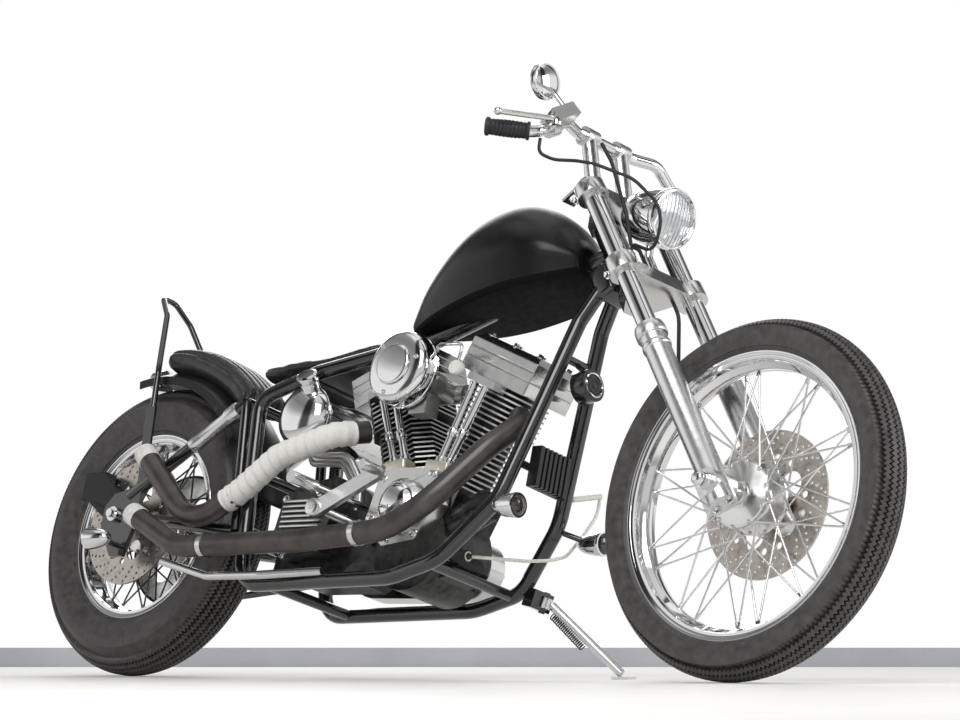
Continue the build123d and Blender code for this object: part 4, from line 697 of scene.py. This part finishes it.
for node, lean_sign in (("cylinder_front", 1), ("cylinder_rear", -1)):
    bore = upright.to_3x3() @ Vector((lean_sign * math.sin(BORE_LEAN), 0, math.cos(BORE_LEAN)))
    bore.normalize()
    finned = finish(node + "_fins", (0.010, 0.010, 0.011), (0.026, 0.026, 0.027), 0.4, 0.6, scale=120)
    nodes, link = finned.node_tree.nodes, finned.node_tree.links.new
    shader = nodes["Principled BSDF"]
    place = nodes["Texture Coordinate"]
    across = operation(nodes, "ShaderNodeVectorMath", "DOT_PRODUCT", bore)
    flat = operation(nodes, "ShaderNodeMath", "ABSOLUTE")
    fin_edge = operation(nodes, "ShaderNodeMath", "LESS_THAN", 0.5)
    from_crank = operation(nodes, "ShaderNodeVectorMath", "SUBTRACT", upright @ CRANK)
    beside = operation(nodes, "ShaderNodeVectorMath", "CROSS_PRODUCT", bore)
    from_bore = operation(nodes, "ShaderNodeVectorMath", "LENGTH")
    outside = operation(nodes, "ShaderNodeMath", "GREATER_THAN", FIN_ROOT_R)
    bright = operation(nodes, "ShaderNodeMath", "MULTIPLY")
    bare_metal = nodes.new("ShaderNodeMix")
    bare_metal.data_type = "RGBA"
    bare_metal.inputs["B"].default_value = (0.60, 0.60, 0.60, 1)
    for source, target in ((place.outputs["Normal"], across.inputs[0]),
                           (across.outputs["Value"], flat.inputs[0]),
                           (flat.outputs["Value"], fin_edge.inputs[0]),
                           (place.outputs["Object"], from_crank.inputs[0]),
                           (from_crank.outputs["Vector"], beside.inputs[0]),
                           (beside.outputs["Vector"], from_bore.inputs[0]),
                           (from_bore.outputs["Value"], outside.inputs[0]),
                           (fin_edge.outputs["Value"], bright.inputs[0]),
                           (outside.outputs["Value"], bright.inputs[1]),
                           (bright.outputs["Value"], bare_metal.inputs["Factor"]),
                           (nodes["Group"].outputs["Color"], bare_metal.inputs["A"]),
                           (bare_metal.outputs["Result"], shader.inputs["Base Color"]),
                           (bright.outputs["Value"], shader.inputs["Metallic"])):
        link(source, target)
    frame["nodes"][node].data.materials[0] = finned

# Rocker box and case bolts
# Chromed hexagon bolts hold the rocker lids, the cam cover, the primary case and the gearbox's end.
engine_places = []
for lean_sign in (1, -1):
    bore_axes = upright @ Matrix.Translation(CRANK) @ Matrix.Rotation(lean_sign * BORE_LEAN, 4, "Y")
    for x in (-0.078, 0.0, 0.078):
        for y in (-0.046, 0.046):
            engine_places.append(along(bore_axes, (x, y, 0.458), (0, 0, 1)))
for x, z in ((0.795, 0.310), (0.812, 0.395), (0.950, 0.400), (0.960, 0.345), (0.925, 0.275), (0.845, 0.262)):
    engine_places.append(along(upright, (x, -0.114, z), (0, -1, 0)))
for x, z in ((0.530, 0.256), (0.548, 0.356), (0.645, 0.368), (0.678, 0.328), (0.663, 0.248), (0.565, 0.234)):
    engine_places.append(along(upright, (x, -0.126, z), (0, -1, 0)))
bolts("engine_bolts", "chassis", chrome, 0.0065, 0.008, engine_places)
CLUTCH = Vector((0.622, 0, 0.308))     # middle of the primary case's rear end
PRIMARY_FACE_Y = 0.172
primary_places = []
for number in range(10):
    angle = 2 * math.pi * number / 10
    spoke = Vector((math.cos(angle), 0, math.sin(angle)))
    outer_face = Vector((0, PRIMARY_FACE_Y, 0))
    if math.cos(angle) < 0.5:
        primary_places.append(along(upright, CLUTCH + spoke * 0.078 + outer_face, (0, 1, 0)))
    if math.cos(angle) > -0.1:
        primary_places.append(along(upright, CRANK + spoke * 0.042 + outer_face, (0, 1, 0)))
bolts("primary_bolts", "chassis", chrome, 0.0055, 0.006, primary_places)

# Gearbox end and points cover
# Polished castings on the right side: a ribbed lid over the gearbox's end and a domed points cover on the cam
# chest.
bm = bmesh.new()
for number in range(9):
    add(bm, rounded_block((0.118, 0.009, 0.0062), 0.0022, 2),
        Matrix.Translation((0.604, -0.1285, 0.262 + 0.011 * number)))
piece("gearbox_fins", bm, polish, "chassis", upright)
points_lid = [(0.0, 0.0165), (0.018, 0.0155), (0.031, 0.0125), (0.039, 0.0075), (0.0425, 0.0020),
              (0.0460, 0.0012), (0.0470, -0.001)]
points_place = along(upright, (0.880, -0.136, 0.332), (0, -1, 0))
piece("points_lid", spun(points_lid, 56), chrome, "chassis", points_place, math.radians(50))
pedal_boss = [(0.0, 0.0085), (0.005, 0.0085), (0.006, 0.0065), (0.015, 0.0065), (0.0185, 0.0045),
              (0.0195, 0.0), (0.0195, -0.012)]
pedal = along(upright, (0.760, -0.246, 0.296), (0, -1, 0))
piece("pedal_boss", spun(pedal_boss, 40), polish, "chassis", pedal)

# Pushrod tubes' fittings
# Chromed telescopic tubes: a collar and spring cap on each, standing on polished tappet blocks.
PUSHRODS = [               # barrel's lean, foot x, foot z, spread of the top
    (1, 0.938, 0.428, -0.024),
    (1, 0.962, 0.424, 0.010),
    (-1, 0.812, 0.430, -0.010),
    (-1, 0.842, 0.434, 0.024),
]
COLLARS = [(0.0080, 0.004), (0.0125, 0.005), (0.0125, 0.014), (0.0080, 0.016), (0.0080, 0.060),
           (0.0118, 0.062), (0.0122, 0.066), (0.0122, 0.078), (0.0105, 0.081), (0.0080, 0.083)]
bm = bmesh.new()
for lean_sign, x, z, spread_x in PUSHRODS:
    bore_axes = Matrix.Translation(CRANK) @ Matrix.Rotation(lean_sign * BORE_LEAN, 4, "Y")
    foot = Vector((x, -0.088, z))
    top = bore_axes @ Vector((spread_x, 0, 0.3568))
    top.y = -0.084
    add(bm, spun(COLLARS, 24), along(Matrix.Identity(4), foot, top - foot))
piece("pushrod_collars", bm, chrome, "chassis", upright)
bm = bmesh.new()
for x, z, tilt in ((0.950, 0.417, 10), (0.827, 0.423, -10)):
    block_place = Matrix.Translation((x, -0.092, z)) @ Matrix.Rotation(math.radians(tilt), 4, "Y")
    add(bm, rounded_block((0.064, 0.040, 0.026), 0.006, 3), block_place)
tappet_alloy = finish("tappet_alloy", (0.58, 0.54, 0.44), (0.72, 0.68, 0.58), 0.3, 0.45, metallic=0.7,
                      scale=90)
piece("tappet_blocks", bm, tappet_alloy, "chassis", upright)

# Air cleaner
# Chromed steel pan and lid with a wide bowed brim. The raised middle is bare.
lid = [(0.0, 0.0580), (0.038, 0.0578), (0.0425, 0.0565), (0.044, 0.0540), (0.0448, 0.0512), (0.058, 0.0500),
       (0.069, 0.0472), (0.0755, 0.0425), (0.0790, 0.0350), (0.0800, 0.0280), (0.0800, 0.0130),
       (0.0782, 0.0115), (0.0782, 0.0085), (0.0800, 0.0070), (0.0800, 0.0), (0.0, 0.0)]
air = along(upright, (0.845, -0.128, 0.620), (0, -1, 0))
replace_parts(piece("air_cleaner_pan", spun(lid, 72), chrome, "chassis", air, math.radians(50)),
            "air_cleaner")
screw_places = []
for turn in (0.5, 2.6, 4.7):
    screw_places.append(air @ Matrix.Translation((0.060 * math.cos(turn), 0.060 * math.sin(turn), 0.0492)))
bolts("air_cleaner_screws", "chassis", chrome, 0.004, 0.004, screw_places)

# Oil tank ends and cap
# Chromed round tank closed by pressed domes, with a fluted screw cap on the filler neck.
TANK_DOME = [(0.0, 0.0225), (0.020, 0.0215), (0.038, 0.0180), (0.053, 0.0115), (0.0635, 0.0030),
             (0.0700, -0.0090), (0.0725, -0.0200), (0.0715, -0.0215)]
bm = bmesh.new()
for side in (-1, 1):
    add(bm, spun(TANK_DOME, 64), along(Matrix.Identity(4), (0.530, side * 0.118, 0.548), (0, side, 0)))
piece("oil_tank_ends", bm, chrome, "chassis", upright, math.radians(60))
neck_foot, neck_top = Vector((0.544, -0.100, 0.592)), Vector((0.552, -0.138, 0.622))
CAP_STEPS = 36                         # every other one is a flute
cap_profile = [(0.0, 0.0640), (0.018, 0.0630), (0.0235, 0.0600), (0.0245, 0.0570), (0.0245, 0.0460),
               (0.0222, 0.0450)]
screw_cap = spun(cap_profile, CAP_STEPS)
for vert in screw_cap.verts:
    step = round(math.atan2(vert.co.y, vert.co.x) / (2 * math.pi / CAP_STEPS))
    if math.hypot(vert.co.x, vert.co.y) > 0.0236 and step % 2:
        vert.co.xy *= 0.955
piece("oil_cap", screw_cap, chrome, "chassis", along(upright, neck_foot, neck_top - neck_foot),
      math.radians(25))

# Exhaust wrap, tips and clamps
# White glass tape wound round the rear cylinder's pipe, lap over lap, held by steel clamps. Bare alloy
# sleeves line both tips.


def bent_line(points, bends, step):
    """Points and distances along straight runs joined by arcs."""
    line = [Vector(points[0])]
    for before, corner, after, bend in zip(points, points[1:], points[2:], bends):
        back = (Vector(before) - Vector(corner)).normalized()
        onward = (Vector(after) - Vector(corner)).normalized()
        half = back.angle(onward) / 2
        middle = Vector(corner) + (back + onward).normalized() * bend / math.sin(half)
        first = Vector(corner) + back * bend / math.tan(half) - middle
        last = Vector(corner) + onward * bend / math.tan(half) - middle
        count = max(3, round(bend * (math.pi - 2 * half) / step))
        for number in range(count + 1):
            line.append(middle + first.slerp(last, number / count) * bend)
    line.append(Vector(points[-1]))
    even = []
    for start, end in zip(line, line[1:]):
        count = max(1, round((end - start).length / step))
        even += [start.lerp(end, number / count) for number in range(count)]
    return even + [line[-1]]


REAR_PIPE = [(0.708, -0.082, 0.512), (0.676, -0.150, 0.486), (0.545, -0.168, 0.440), (0.445, -0.168, 0.366),
             (0.308, -0.168, 0.292), (0.104, -0.168, 0.468)]
middle_line = bent_line(REAR_PIPE, (0.040, 0.090, 0.160, 0.110), 0.003)
TAPE_LAP = 0.024                       # length of pipe to one turn of the tape
WRAP_START, WRAP_END = 0.030, 0.385    # along the pipe from the port
WRAP_R, LAP_RISE = 0.0250, 0.0030
WRAP_POINTS = 28
loops = []
travelled = 0.0
for before, here, after in zip(middle_line, middle_line[1:], middle_line[2:]):
    travelled += (here - before).length
    if not WRAP_START < travelled < WRAP_END:
        continue
    sideways = (after - before).cross(Vector((0, 0, 1)))
    ring_axes = axes(here, sideways, sideways.cross(after - before))
    loop = []
    for number in range(WRAP_POINTS):
        angle = 2 * math.pi * number / WRAP_POINTS
        lap = (travelled / TAPE_LAP - number / WRAP_POINTS) % 1.0
        radius = WRAP_R + LAP_RISE * lap
        loop.append(ring_axes @ Vector((radius * math.cos(angle), radius * math.sin(angle), 0)))
    loops.append(loop)
tape = finish("glass_tape", (0.70, 0.68, 0.64), (0.84, 0.82, 0.79), 0.75, 0.95, scale=420, relief=0.35)
piece("pipe_wrap", lofted(loops), tape, "chassis", upright, math.radians(50))
TIP_SLEEVE = [(0.0198, 0.052), (0.0198, -0.001), (0.0215, -0.0025), (0.0245, -0.0020), (0.0256, 0.0),
              (0.0256, 0.030), (0.0243, 0.032)]
FRONT_PIPE_END = [(0.310, -0.195, 0.238), (0.140, -0.195, 0.318)]
bm = bmesh.new()
for inner, tip in (REAR_PIPE[-2:], FRONT_PIPE_END):
    add(bm, spun(TIP_SLEEVE, 40), along(Matrix.Identity(4), tip, Vector(inner) - Vector(tip)))
pale = finish("pale_sleeve", (0.62, 0.60, 0.57), (0.80, 0.78, 0.75), 0.45, 0.6, scale=120)
piece("pipe_tips", bm, pale, "chassis", upright)
CLAMP_BAND = [(0.0242, -0.007), (0.0262, -0.007), (0.0262, 0.007), (0.0242, 0.007)]
CLAMPS = [                 # place, direction of the pipe there
    ((0.425, -0.168, 0.355), (-0.137, 0, -0.074)),
    ((0.400, -0.195, 0.2385), (-1, 0, -0.01)),
    ((0.850, -0.195, 0.253), (-1, 0, -0.07)),
]
bm = bmesh.new()
for middle, direction in CLAMPS:
    add(bm, spun(CLAMP_BAND, 40, closed=True), along(Matrix.Identity(4), middle, direction))
piece("pipe_clamps", bm, polish, "chassis", upright)

# Oil pipes and breather pipe
# Bent steel pipes loop from the oil tank over the gearbox to the crankcase, and a thin breather pipe with
# a pale fitting runs over the carburettor.


def pipe(name, points, bends, radius, material):
    """Round pipe through corner points, bent in an upright plane."""
    line = bent_line(points, bends, 0.006)
    loops = []
    for before, here, after in zip(line[:1] + line, line, line[1:] + line[-1:]):
        out = (after - before).cross(Vector((0, 1, 0)))
        ring_axes = axes(here, out, out.cross(after - before))
        turns = [2 * math.pi * number / 16 for number in range(16)]
        loops.append([ring_axes @ Vector((radius * math.cos(turn), radius * math.sin(turn),
                                          0)) for turn in turns])
    piece(name, lofted(loops), material, "chassis", upright)


pipe_steel = finish("pipe_steel", (0.52, 0.52, 0.51), (0.70, 0.69, 0.67), 0.26, 0.42, metallic=1.0,
                    scale=700, relief=0.15)
for number in range(3):
    back, inward = 0.030 * number, 0.024 * number
    corners = [(0.566 - back, -0.096 + inward, 0.492), (0.590 - back, -0.104 + inward, 0.458),
               (0.694 - back, -0.112 + inward, 0.452), (0.738 - back, -0.106 + inward, 0.395),
               (0.742 - back, -0.100 + inward, 0.340)]
    pipe("oil_pipe_%d" % (number + 1), corners, (0.022, 0.050, 0.050), 0.0075, pipe_steel)
breather = [(0.894, -0.112, 0.640), (0.894, -0.112, 0.684), (0.968, -0.112, 0.680), (0.960, -0.112, 0.640)]
pipe("breather_pipe", breather, (0.012, 0.012), 0.0035, chrome)
fitting = [(0.0, 0.0), (0.0150, 0.0005), (0.0165, 0.004), (0.0165, 0.014), (0.0140, 0.018), (0.0, 0.0185)]
fitting_place = along(upright, (0.957, -0.100, 0.628), (0, -1, 0))
piece("breather_fitting", spun(fitting, 32), pale, "chassis", fitting_place)

# Rear arm sleeves
# Bare alloy sleeves clamped over the upper tubes of the rear arm, below the seat.
ARM_SLEEVE = [(0.0142, 0.0), (0.0165, 0.001), (0.0172, 0.004), (0.0172, 0.020), (0.0158, 0.024),
              (0.0158, 0.112), (0.0185, 0.118), (0.0192, 0.124), (0.0192, 0.146), (0.0180, 0.150),
              (0.0142, 0.151)]
bm = bmesh.new()
for side in (-1, 1):
    add(bm, spun(ARM_SLEEVE, 36), along(Matrix.Identity(4), (0.206, side * 0.122, 0.4923),
                                        (0.325, 0, 0.203)))
piece("arm_sleeves", bm, satin, "chassis", upright)

# Lamps and horn
# Bullet turn lamps with smoked lenses in bright rings, a red tail lamp, and a black horn with a bright
# ring round its middle.
smoked = finish("smoked_lens", (0.020, 0.014, 0.012), (0.045, 0.030, 0.024), 0.05, 0.1, coat=1.0, scale=60)
SIGNAL_SHELL = [(0.0, -0.037), (0.006, -0.0355), (0.0125, -0.031), (0.018, -0.020), (0.0225, 0.0),
                (0.0250, 0.022), (0.0256, 0.027), (0.0248, 0.0305), (0.0215, 0.0305)]
SIGNAL_LENS = [(0.0, 0.0385), (0.010, 0.0375), (0.017, 0.0345), (0.0216, 0.0295)]
SIGNALS = [                # x, half the spacing, height, way it faces
    (NECK_X - 0.051, 0.136, 0.317, 1),
    (0.026, 0.184, 0.268, -1),
]
shells = bmesh.new()
lenses = bmesh.new()
for x, half, z, way in SIGNALS:
    for side in (1, -1):
        signal_axes = along(Matrix.Identity(4), (x, side * half, z), (way, 0, 0))
        add(shells, spun(SIGNAL_SHELL, 36), signal_axes)
        add(lenses, spun(SIGNAL_LENS, 36), signal_axes)
piece("signal_shells", shells, chrome, "chassis", upright)
piece("signal_lenses", lenses, smoked, "chassis", upright)
red = finish("red_lens", (0.16, 0.004, 0.004), (0.28, 0.010, 0.008), 0.06, 0.12, coat=1.0, scale=70)
tail = along(upright, (-0.110, 0, 0.706), (-1, 0, 0))
tail_dome = [(0.0, 0.0075), (0.012, 0.0070), (0.0200, 0.0050), (0.0235, 0.0015), (0.0238, -0.001),
             (0.0, -0.001)]
piece("tail_lens", spun(tail_dome, 40), red, "chassis", tail)
HORN_TILT = math.radians(80)
horn = along(upright, (NECK_X - 0.017, 0, 0.606), (math.sin(HORN_TILT), 0, math.cos(HORN_TILT)))
horn_dish = [(0.0, 0.0205), (0.006, 0.0200), (0.008, 0.0180), (0.012, 0.0178), (0.014, 0.0195),
             (0.018, 0.0195), (0.020, 0.0176), (0.034, 0.0176)]
piece("horn_face", spun(horn_dish, 48), plastic, "chassis", horn)
bright_ring = [(0.0225, 0.0172), (0.0230, 0.0205), (0.0250, 0.0215), (0.0270, 0.0205), (0.0275, 0.0172)]
piece("horn_ring", spun(bright_ring, 48), chrome, "chassis", horn)

# Clutch cable boot
# Black rubber bellows over the cable's end at the crankcase.
boot = [(0.0, 0.0), (0.0104, 0.0)]
BELLOWS_PITCH = 0.0065
for number in range(7):
    fold = BELLOWS_PITCH * number
    boot += [(0.0104, 0.002 + fold), (0.0128, 0.0045 + fold), (0.0104, 0.007 + fold)]
boot += [(0.0060, 0.049), (0.0042, 0.056), (0.0, 0.0565)]
boot_place = along(upright, (0.986, -0.0563, 0.240), (1, 0, 0))
piece("cable_bellows", spun(boot, 24), rubber, "chassis", boot_place)

# Side stand spring
# Black coil spring drawn along the stand's leg.
eye, ankle = Vector((1.066, 0.186, 0.198)), Vector((1.130, 0.222, 0.140))
coil_axes = along(Matrix.Identity(4), eye + Vector((0, 0, -0.016)), ankle - eye)
spring_length = (ankle - eye).length
TURNS, STEPS = 20, 14
COIL_R = 0.0065
coil = bpy.data.curves.new("stand_spring", "CURVE")
coil.dimensions = "3D"
coil.bevel_depth = 0.0013
coil.bevel_resolution = 2
spline = coil.splines.new("POLY")
spline.points.add(TURNS * STEPS)
for number, point in enumerate(spline.points):
    angle = 2 * math.pi * number / STEPS
    run = spring_length * number / (TURNS * STEPS)
    point.co = (*(coil_axes @ Vector((COIL_R * math.cos(angle), COIL_R * math.sin(angle), run))), 1)
piece("stand_spring", curve_bmesh("coil", coil), plastic, "side_stand", upright)

# Seat and pillion pad
# Black hide over foam on steel pans. The thin solo seat has one seam round its edge; the pad behind it
# is sewn in lengthwise rolls and curves with the fender. Both are swollen by a short cloth simulation.


def padded(name, bm, cap, place):
    """Swell a closed form, moving no point further than the cap, and return it as a bmesh."""
    bmesh.ops.recalc_face_normals(bm, faces=bm.faces)
    bmesh.ops.transform(bm, matrix=place, verts=bm.verts)
    mesh = bpy.data.meshes.new(name + "_slack")
    bm.to_mesh(mesh)
    bm.free()
    slack = bpy.data.objects.new(name + "_slack", mesh)
    bpy.context.scene.collection.objects.link(slack)
    even = slack.modifiers.new("even", "REMESH")
    even.mode = "VOXEL"
    even.voxel_size = 0.0045
    start = bpy.data.meshes.new_from_object(slack.evaluated_get(bpy.context.evaluated_depsgraph_get()))
    slack.modifiers.clear()
    slack.data = start
    swollen = start
    cloth = slack.modifiers.new("cloth", "CLOTH")
    cloth.settings.use_pressure = True
    cloth.settings.uniform_pressure_force = 4.0
    cloth.settings.effector_weights.gravity = 0.0
    for number in range(1, 21):
        bpy.context.scene.frame_set(number)
    swollen = bpy.data.meshes.new_from_object(slack.evaluated_get(bpy.context.evaluated_depsgraph_get()))
    bpy.context.scene.frame_set(1)
    for before, after in zip(start.vertices, swollen.vertices):
        move = after.co - before.co
        if move.length > cap:
            after.co = before.co + move.normalized() * cap
    bpy.data.objects.remove(slack)
    result = bmesh.new()
    result.from_mesh(swollen)
    bmesh.ops.smooth_vert(result, verts=result.verts, factor=0.5, use_axis_x=True, use_axis_y=True,
                          use_axis_z=True)
    bmesh.ops.subdivide_edges(result, edges=result.edges[:], cuts=1, use_grid_fill=True, smooth=0.3)
    bmesh.ops.transform(result, matrix=place.inverted(), verts=result.verts)
    result.normal_update()
    return result


SEAT_SECTIONS = [          # x, half width, underside, top
    (0.336, 0.046, 0.664, 0.684),
    (0.345, 0.078, 0.657, 0.688),
    (0.370, 0.098, 0.655, 0.686),
    (0.430, 0.108, 0.656, 0.682),
    (0.540, 0.086, 0.672, 0.698),
    (0.630, 0.046, 0.711, 0.737),
    (0.650, 0.022, 0.724, 0.741),
]
SEAT_TAIL, SEAT_NOSE = 0.336, 0.650
loops = []
for number in range(32):
    x, half, low, high = between(SEAT_SECTIONS,
                                 SEAT_TAIL + (SEAT_NOSE - SEAT_TAIL) * min(number / 31, 0.9999))
    loop = []
    for corner in range(24):
        angle = 2 * math.pi * corner / 24
        y = half * math.copysign(abs(math.cos(angle)) ** 0.5, math.cos(angle))
        z = (low + high) / 2 + (high - low) / 2 * math.copysign(abs(math.sin(angle)) ** 0.7, math.sin(angle))
        loop.append((x, y, z))
    loops.append(loop)
bm = padded("seat", lofted(loops), 0.005, upright)
for vert in bm.verts:
    low, high = between(SEAT_SECTIONS, min(max(vert.co.x, SEAT_TAIL), SEAT_NOSE - 0.0001))[2:]
    up_the_side = (vert.co.z - low) / (high - low)
    seam = math.exp(-((up_the_side - 0.52) / 0.07) ** 2) * 0.0022
    vert.co -= vert.normal * seam
seat = piece("solo_seat", bm, hide, "chassis", upright, math.radians(180))
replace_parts(seat, "seat")

PAD_SECTION = [(0.3650, 0.046), (0.3700, 0.066), (0.3800, 0.0735), (0.3980, 0.0740), (0.4120, 0.064),
               (0.4195, 0.044), (0.4210, 0.020)]
section = PAD_SECTION + [(r, -y) for r, y in reversed(PAD_SECTION)]
PAD_MIDDLE_R = 0.393
pad_steps = [(44.6, 0.70), (45.4, 0.90), (47.0,
                                          0.98)]           # degrees round the wheel, share of the section
pad_steps += [(number, 1.0) for number in range(50, 88, 3)]
pad_steps += [(89.5, 0.97), (91.0, 0.88), (91.7, 0.70)]
loops = []
for angle, shrink in pad_steps:
    turn = math.radians(angle)
    loop = []
    for radius, y in section:
        radius = PAD_MIDDLE_R + (radius - PAD_MIDDLE_R) * shrink
        loop.append((radius * math.cos(turn), y * (0.5 + 0.5 * shrink), radius * math.sin(turn)))
    loops.append(loop)
bm = padded("pad", lofted(loops), 0.006, rear_hub)
PAD_ROLL = 0.0215          # width of one sewn roll
for vert in bm.verts:
    outward = Vector((vert.co.x, 0, vert.co.z)).normalized()
    if vert.normal.dot(outward) < 0.05:
        continue
    from_seam = (vert.co.y / PAD_ROLL) % 1.0
    from_seam = min(from_seam, 1.0 - from_seam) * PAD_ROLL
    fade = min(1.0, (vert.normal.dot(outward) - 0.05) / 0.35)
    vert.co -= vert.normal * 0.0052 * fade * math.exp(-(from_seam / 0.0032) ** 2)
pad = piece("rolled_pad", bm, hide, "chassis", rear_hub, math.radians(180))
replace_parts(pad, "pillion_pad")

# Floor, wall strip and light
# A pale floor in a white studio with the grey skirting behind the machine, lit by large soft lamps.
# Metal mirrors the white walls, the dimmer ceiling and the darker end of the room behind the camera.
floor_paint = finish("floor_paint", (0.80, 0.79, 0.77), (0.84, 0.83, 0.81), 0.5, 0.6, scale=9)
strip_paint = finish("strip_paint", (0.40, 0.41, 0.44), (0.48, 0.49, 0.52), 0.5, 0.6, scale=3)
level_ahead = Vector((ahead.x, ahead.y, 0)).normalized()
strip_place = (axes(camera_place + level_ahead * 8.75, right,
                    level_ahead) @ Matrix.Translation((0, 0, 0.0305 - camera_place.z))
               @ Matrix.Diagonal((12.0, 0.02, 0.061, 1)))
for name, paint in (("floor", floor_paint), ("wall_strip", strip_paint)):
    bm = bmesh.new()
    if name == "floor":
        bmesh.ops.create_grid(bm, x_segments=1, y_segments=1, size=30.0)
    else:
        bmesh.ops.create_cube(bm, size=1.0, matrix=strip_place)
    mesh = bpy.data.meshes.new(name)
    bm.to_mesh(mesh)
    bm.free()
    mesh.materials.append(paint)
    staged = bpy.data.objects.new(name, mesh)
    bpy.context.scene.collection.objects.link(staged)
    staged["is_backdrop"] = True

world = bpy.data.worlds.new("white_studio")
bpy.context.scene.world = world
world.use_nodes = True
nodes, link = world.node_tree.nodes, world.node_tree.links.new
sky = nodes["Background"]
backdrop = nodes.new("ShaderNodeBackground")
room = nodes.new("ShaderNodeBackground")
path = nodes.new("ShaderNodeLightPath")
mirrored = operation(nodes, "ShaderNodeMath", "MAXIMUM")
to_room = nodes.new("ShaderNodeMixShader")
to_backdrop = nodes.new("ShaderNodeMixShader")
sky.inputs["Color"].default_value = (1, 1, 1, 1)
sky.inputs["Strength"].default_value = 0.55
backdrop.inputs["Color"].default_value = (1, 1, 1, 1)
backdrop.inputs["Strength"].default_value = 1.0
view = nodes.new("ShaderNodeTexCoord")
view_height = nodes.new("ShaderNodeSeparateXYZ")
STUDIO = [                 # height of a direction, brightness
    (0.0, 1.0), (0.34, 0.96), (0.46, 0.42), (0.60, 0.24), (0.78, 0.30), (0.88, 1.0), (1.0, 1.1),
]


def brightness_ramp(steps):
    """Colour ramp of the world through (position, brightness) steps."""
    node = nodes.new("ShaderNodeValToRGB")
    while len(node.color_ramp.elements) < len(steps):
        node.color_ramp.elements.new(0.5)
    for element, (at, brightness) in zip(node.color_ramp.elements, steps):
        element.position = at
        element.color = (brightness, brightness, brightness, 1)
    return node


walls = brightness_ramp(STUDIO)
turn_parts = []
for direction in (right, level_ahead):
    part_of = operation(nodes, "ShaderNodeVectorMath", "DOT_PRODUCT", direction)
    link(view.outputs["Generated"], part_of.inputs[0])
    turn_parts.append(part_of)
heading = operation(nodes, "ShaderNodeMath", "ARCTAN2")
link(turn_parts[0].outputs["Value"], heading.inputs[0])
link(turn_parts[1].outputs["Value"], heading.inputs[1])
round_room = nodes.new("ShaderNodeMapRange")
round_room.inputs["From Min"].default_value = -math.pi
round_room.inputs["From Max"].default_value = math.pi
link(heading.outputs["Value"], round_room.inputs["Value"])
FLAGS = [                  # share of a turn from behind the camera, brightness
    (0.00, 0.70), (0.10, 0.75), (0.13, 0.10), (0.19, 0.10), (0.21, 1.0), (0.36, 1.0), (0.38, 0.22),
    (0.42, 0.22), (0.44, 1.0), (0.58, 1.0), (0.60, 0.22), (0.64, 0.22), (0.66, 1.0), (0.79, 1.0),
    (0.81, 0.10), (0.87, 0.10), (0.90, 0.75), (1.00, 0.70),
]
flags = brightness_ramp(FLAGS)
for source, target in ((view.outputs["Generated"], view_height.inputs["Vector"]),
                       (view_height.outputs["Z"], walls.inputs["Fac"]),
                       (walls.outputs["Color"], room.inputs["Color"]),
                       (round_room.outputs["Result"], flags.inputs["Fac"]),
                       (flags.outputs["Color"], room.inputs["Strength"]),
                       (path.outputs["Is Glossy Ray"], mirrored.inputs[0]),
                       (path.outputs["Is Transmission Ray"], mirrored.inputs[1]),
                       (mirrored.outputs["Value"], to_room.inputs["Fac"]),
                       (sky.outputs["Background"], to_room.inputs[1]),
                       (room.outputs["Background"], to_room.inputs[2]),
                       (path.outputs["Is Camera Ray"], to_backdrop.inputs["Fac"]),
                       (to_room.outputs["Shader"], to_backdrop.inputs[1]),
                       (backdrop.outputs["Background"], to_backdrop.inputs[2]),
                       (to_backdrop.outputs["Shader"], nodes["World Output"].inputs["Surface"])):
    link(source, target)
LAMPS = [                  # name, place, aim, size, power
    ("key", (1.8, -2.8, 3.2), (0.1, 0.0, 0.5), 2.4, 92.0),
    ("side", (3.6, 1.2, 1.8), (0.4, 0.0, 0.5), 1.8, 44.0),
    ("back", (-2.6, 2.4, 2.6), (-0.3, 0.0, 0.5), 2.4, 50.0),
]
for name, place, aim, size, power in LAMPS:
    lamp_data = bpy.data.lights.new(name, "AREA")
    lamp_data.size = size
    lamp_data.energy = power
    lamp_object = bpy.data.objects.new(name, lamp_data)
    bpy.context.scene.collection.objects.link(lamp_object)
    lamp_object.location = place
    lamp_object.rotation_mode = "QUATERNION"
    lamp_object.rotation_quaternion = (Vector(aim) - Vector(place)).to_track_quat("-Z", "Y")

low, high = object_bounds()
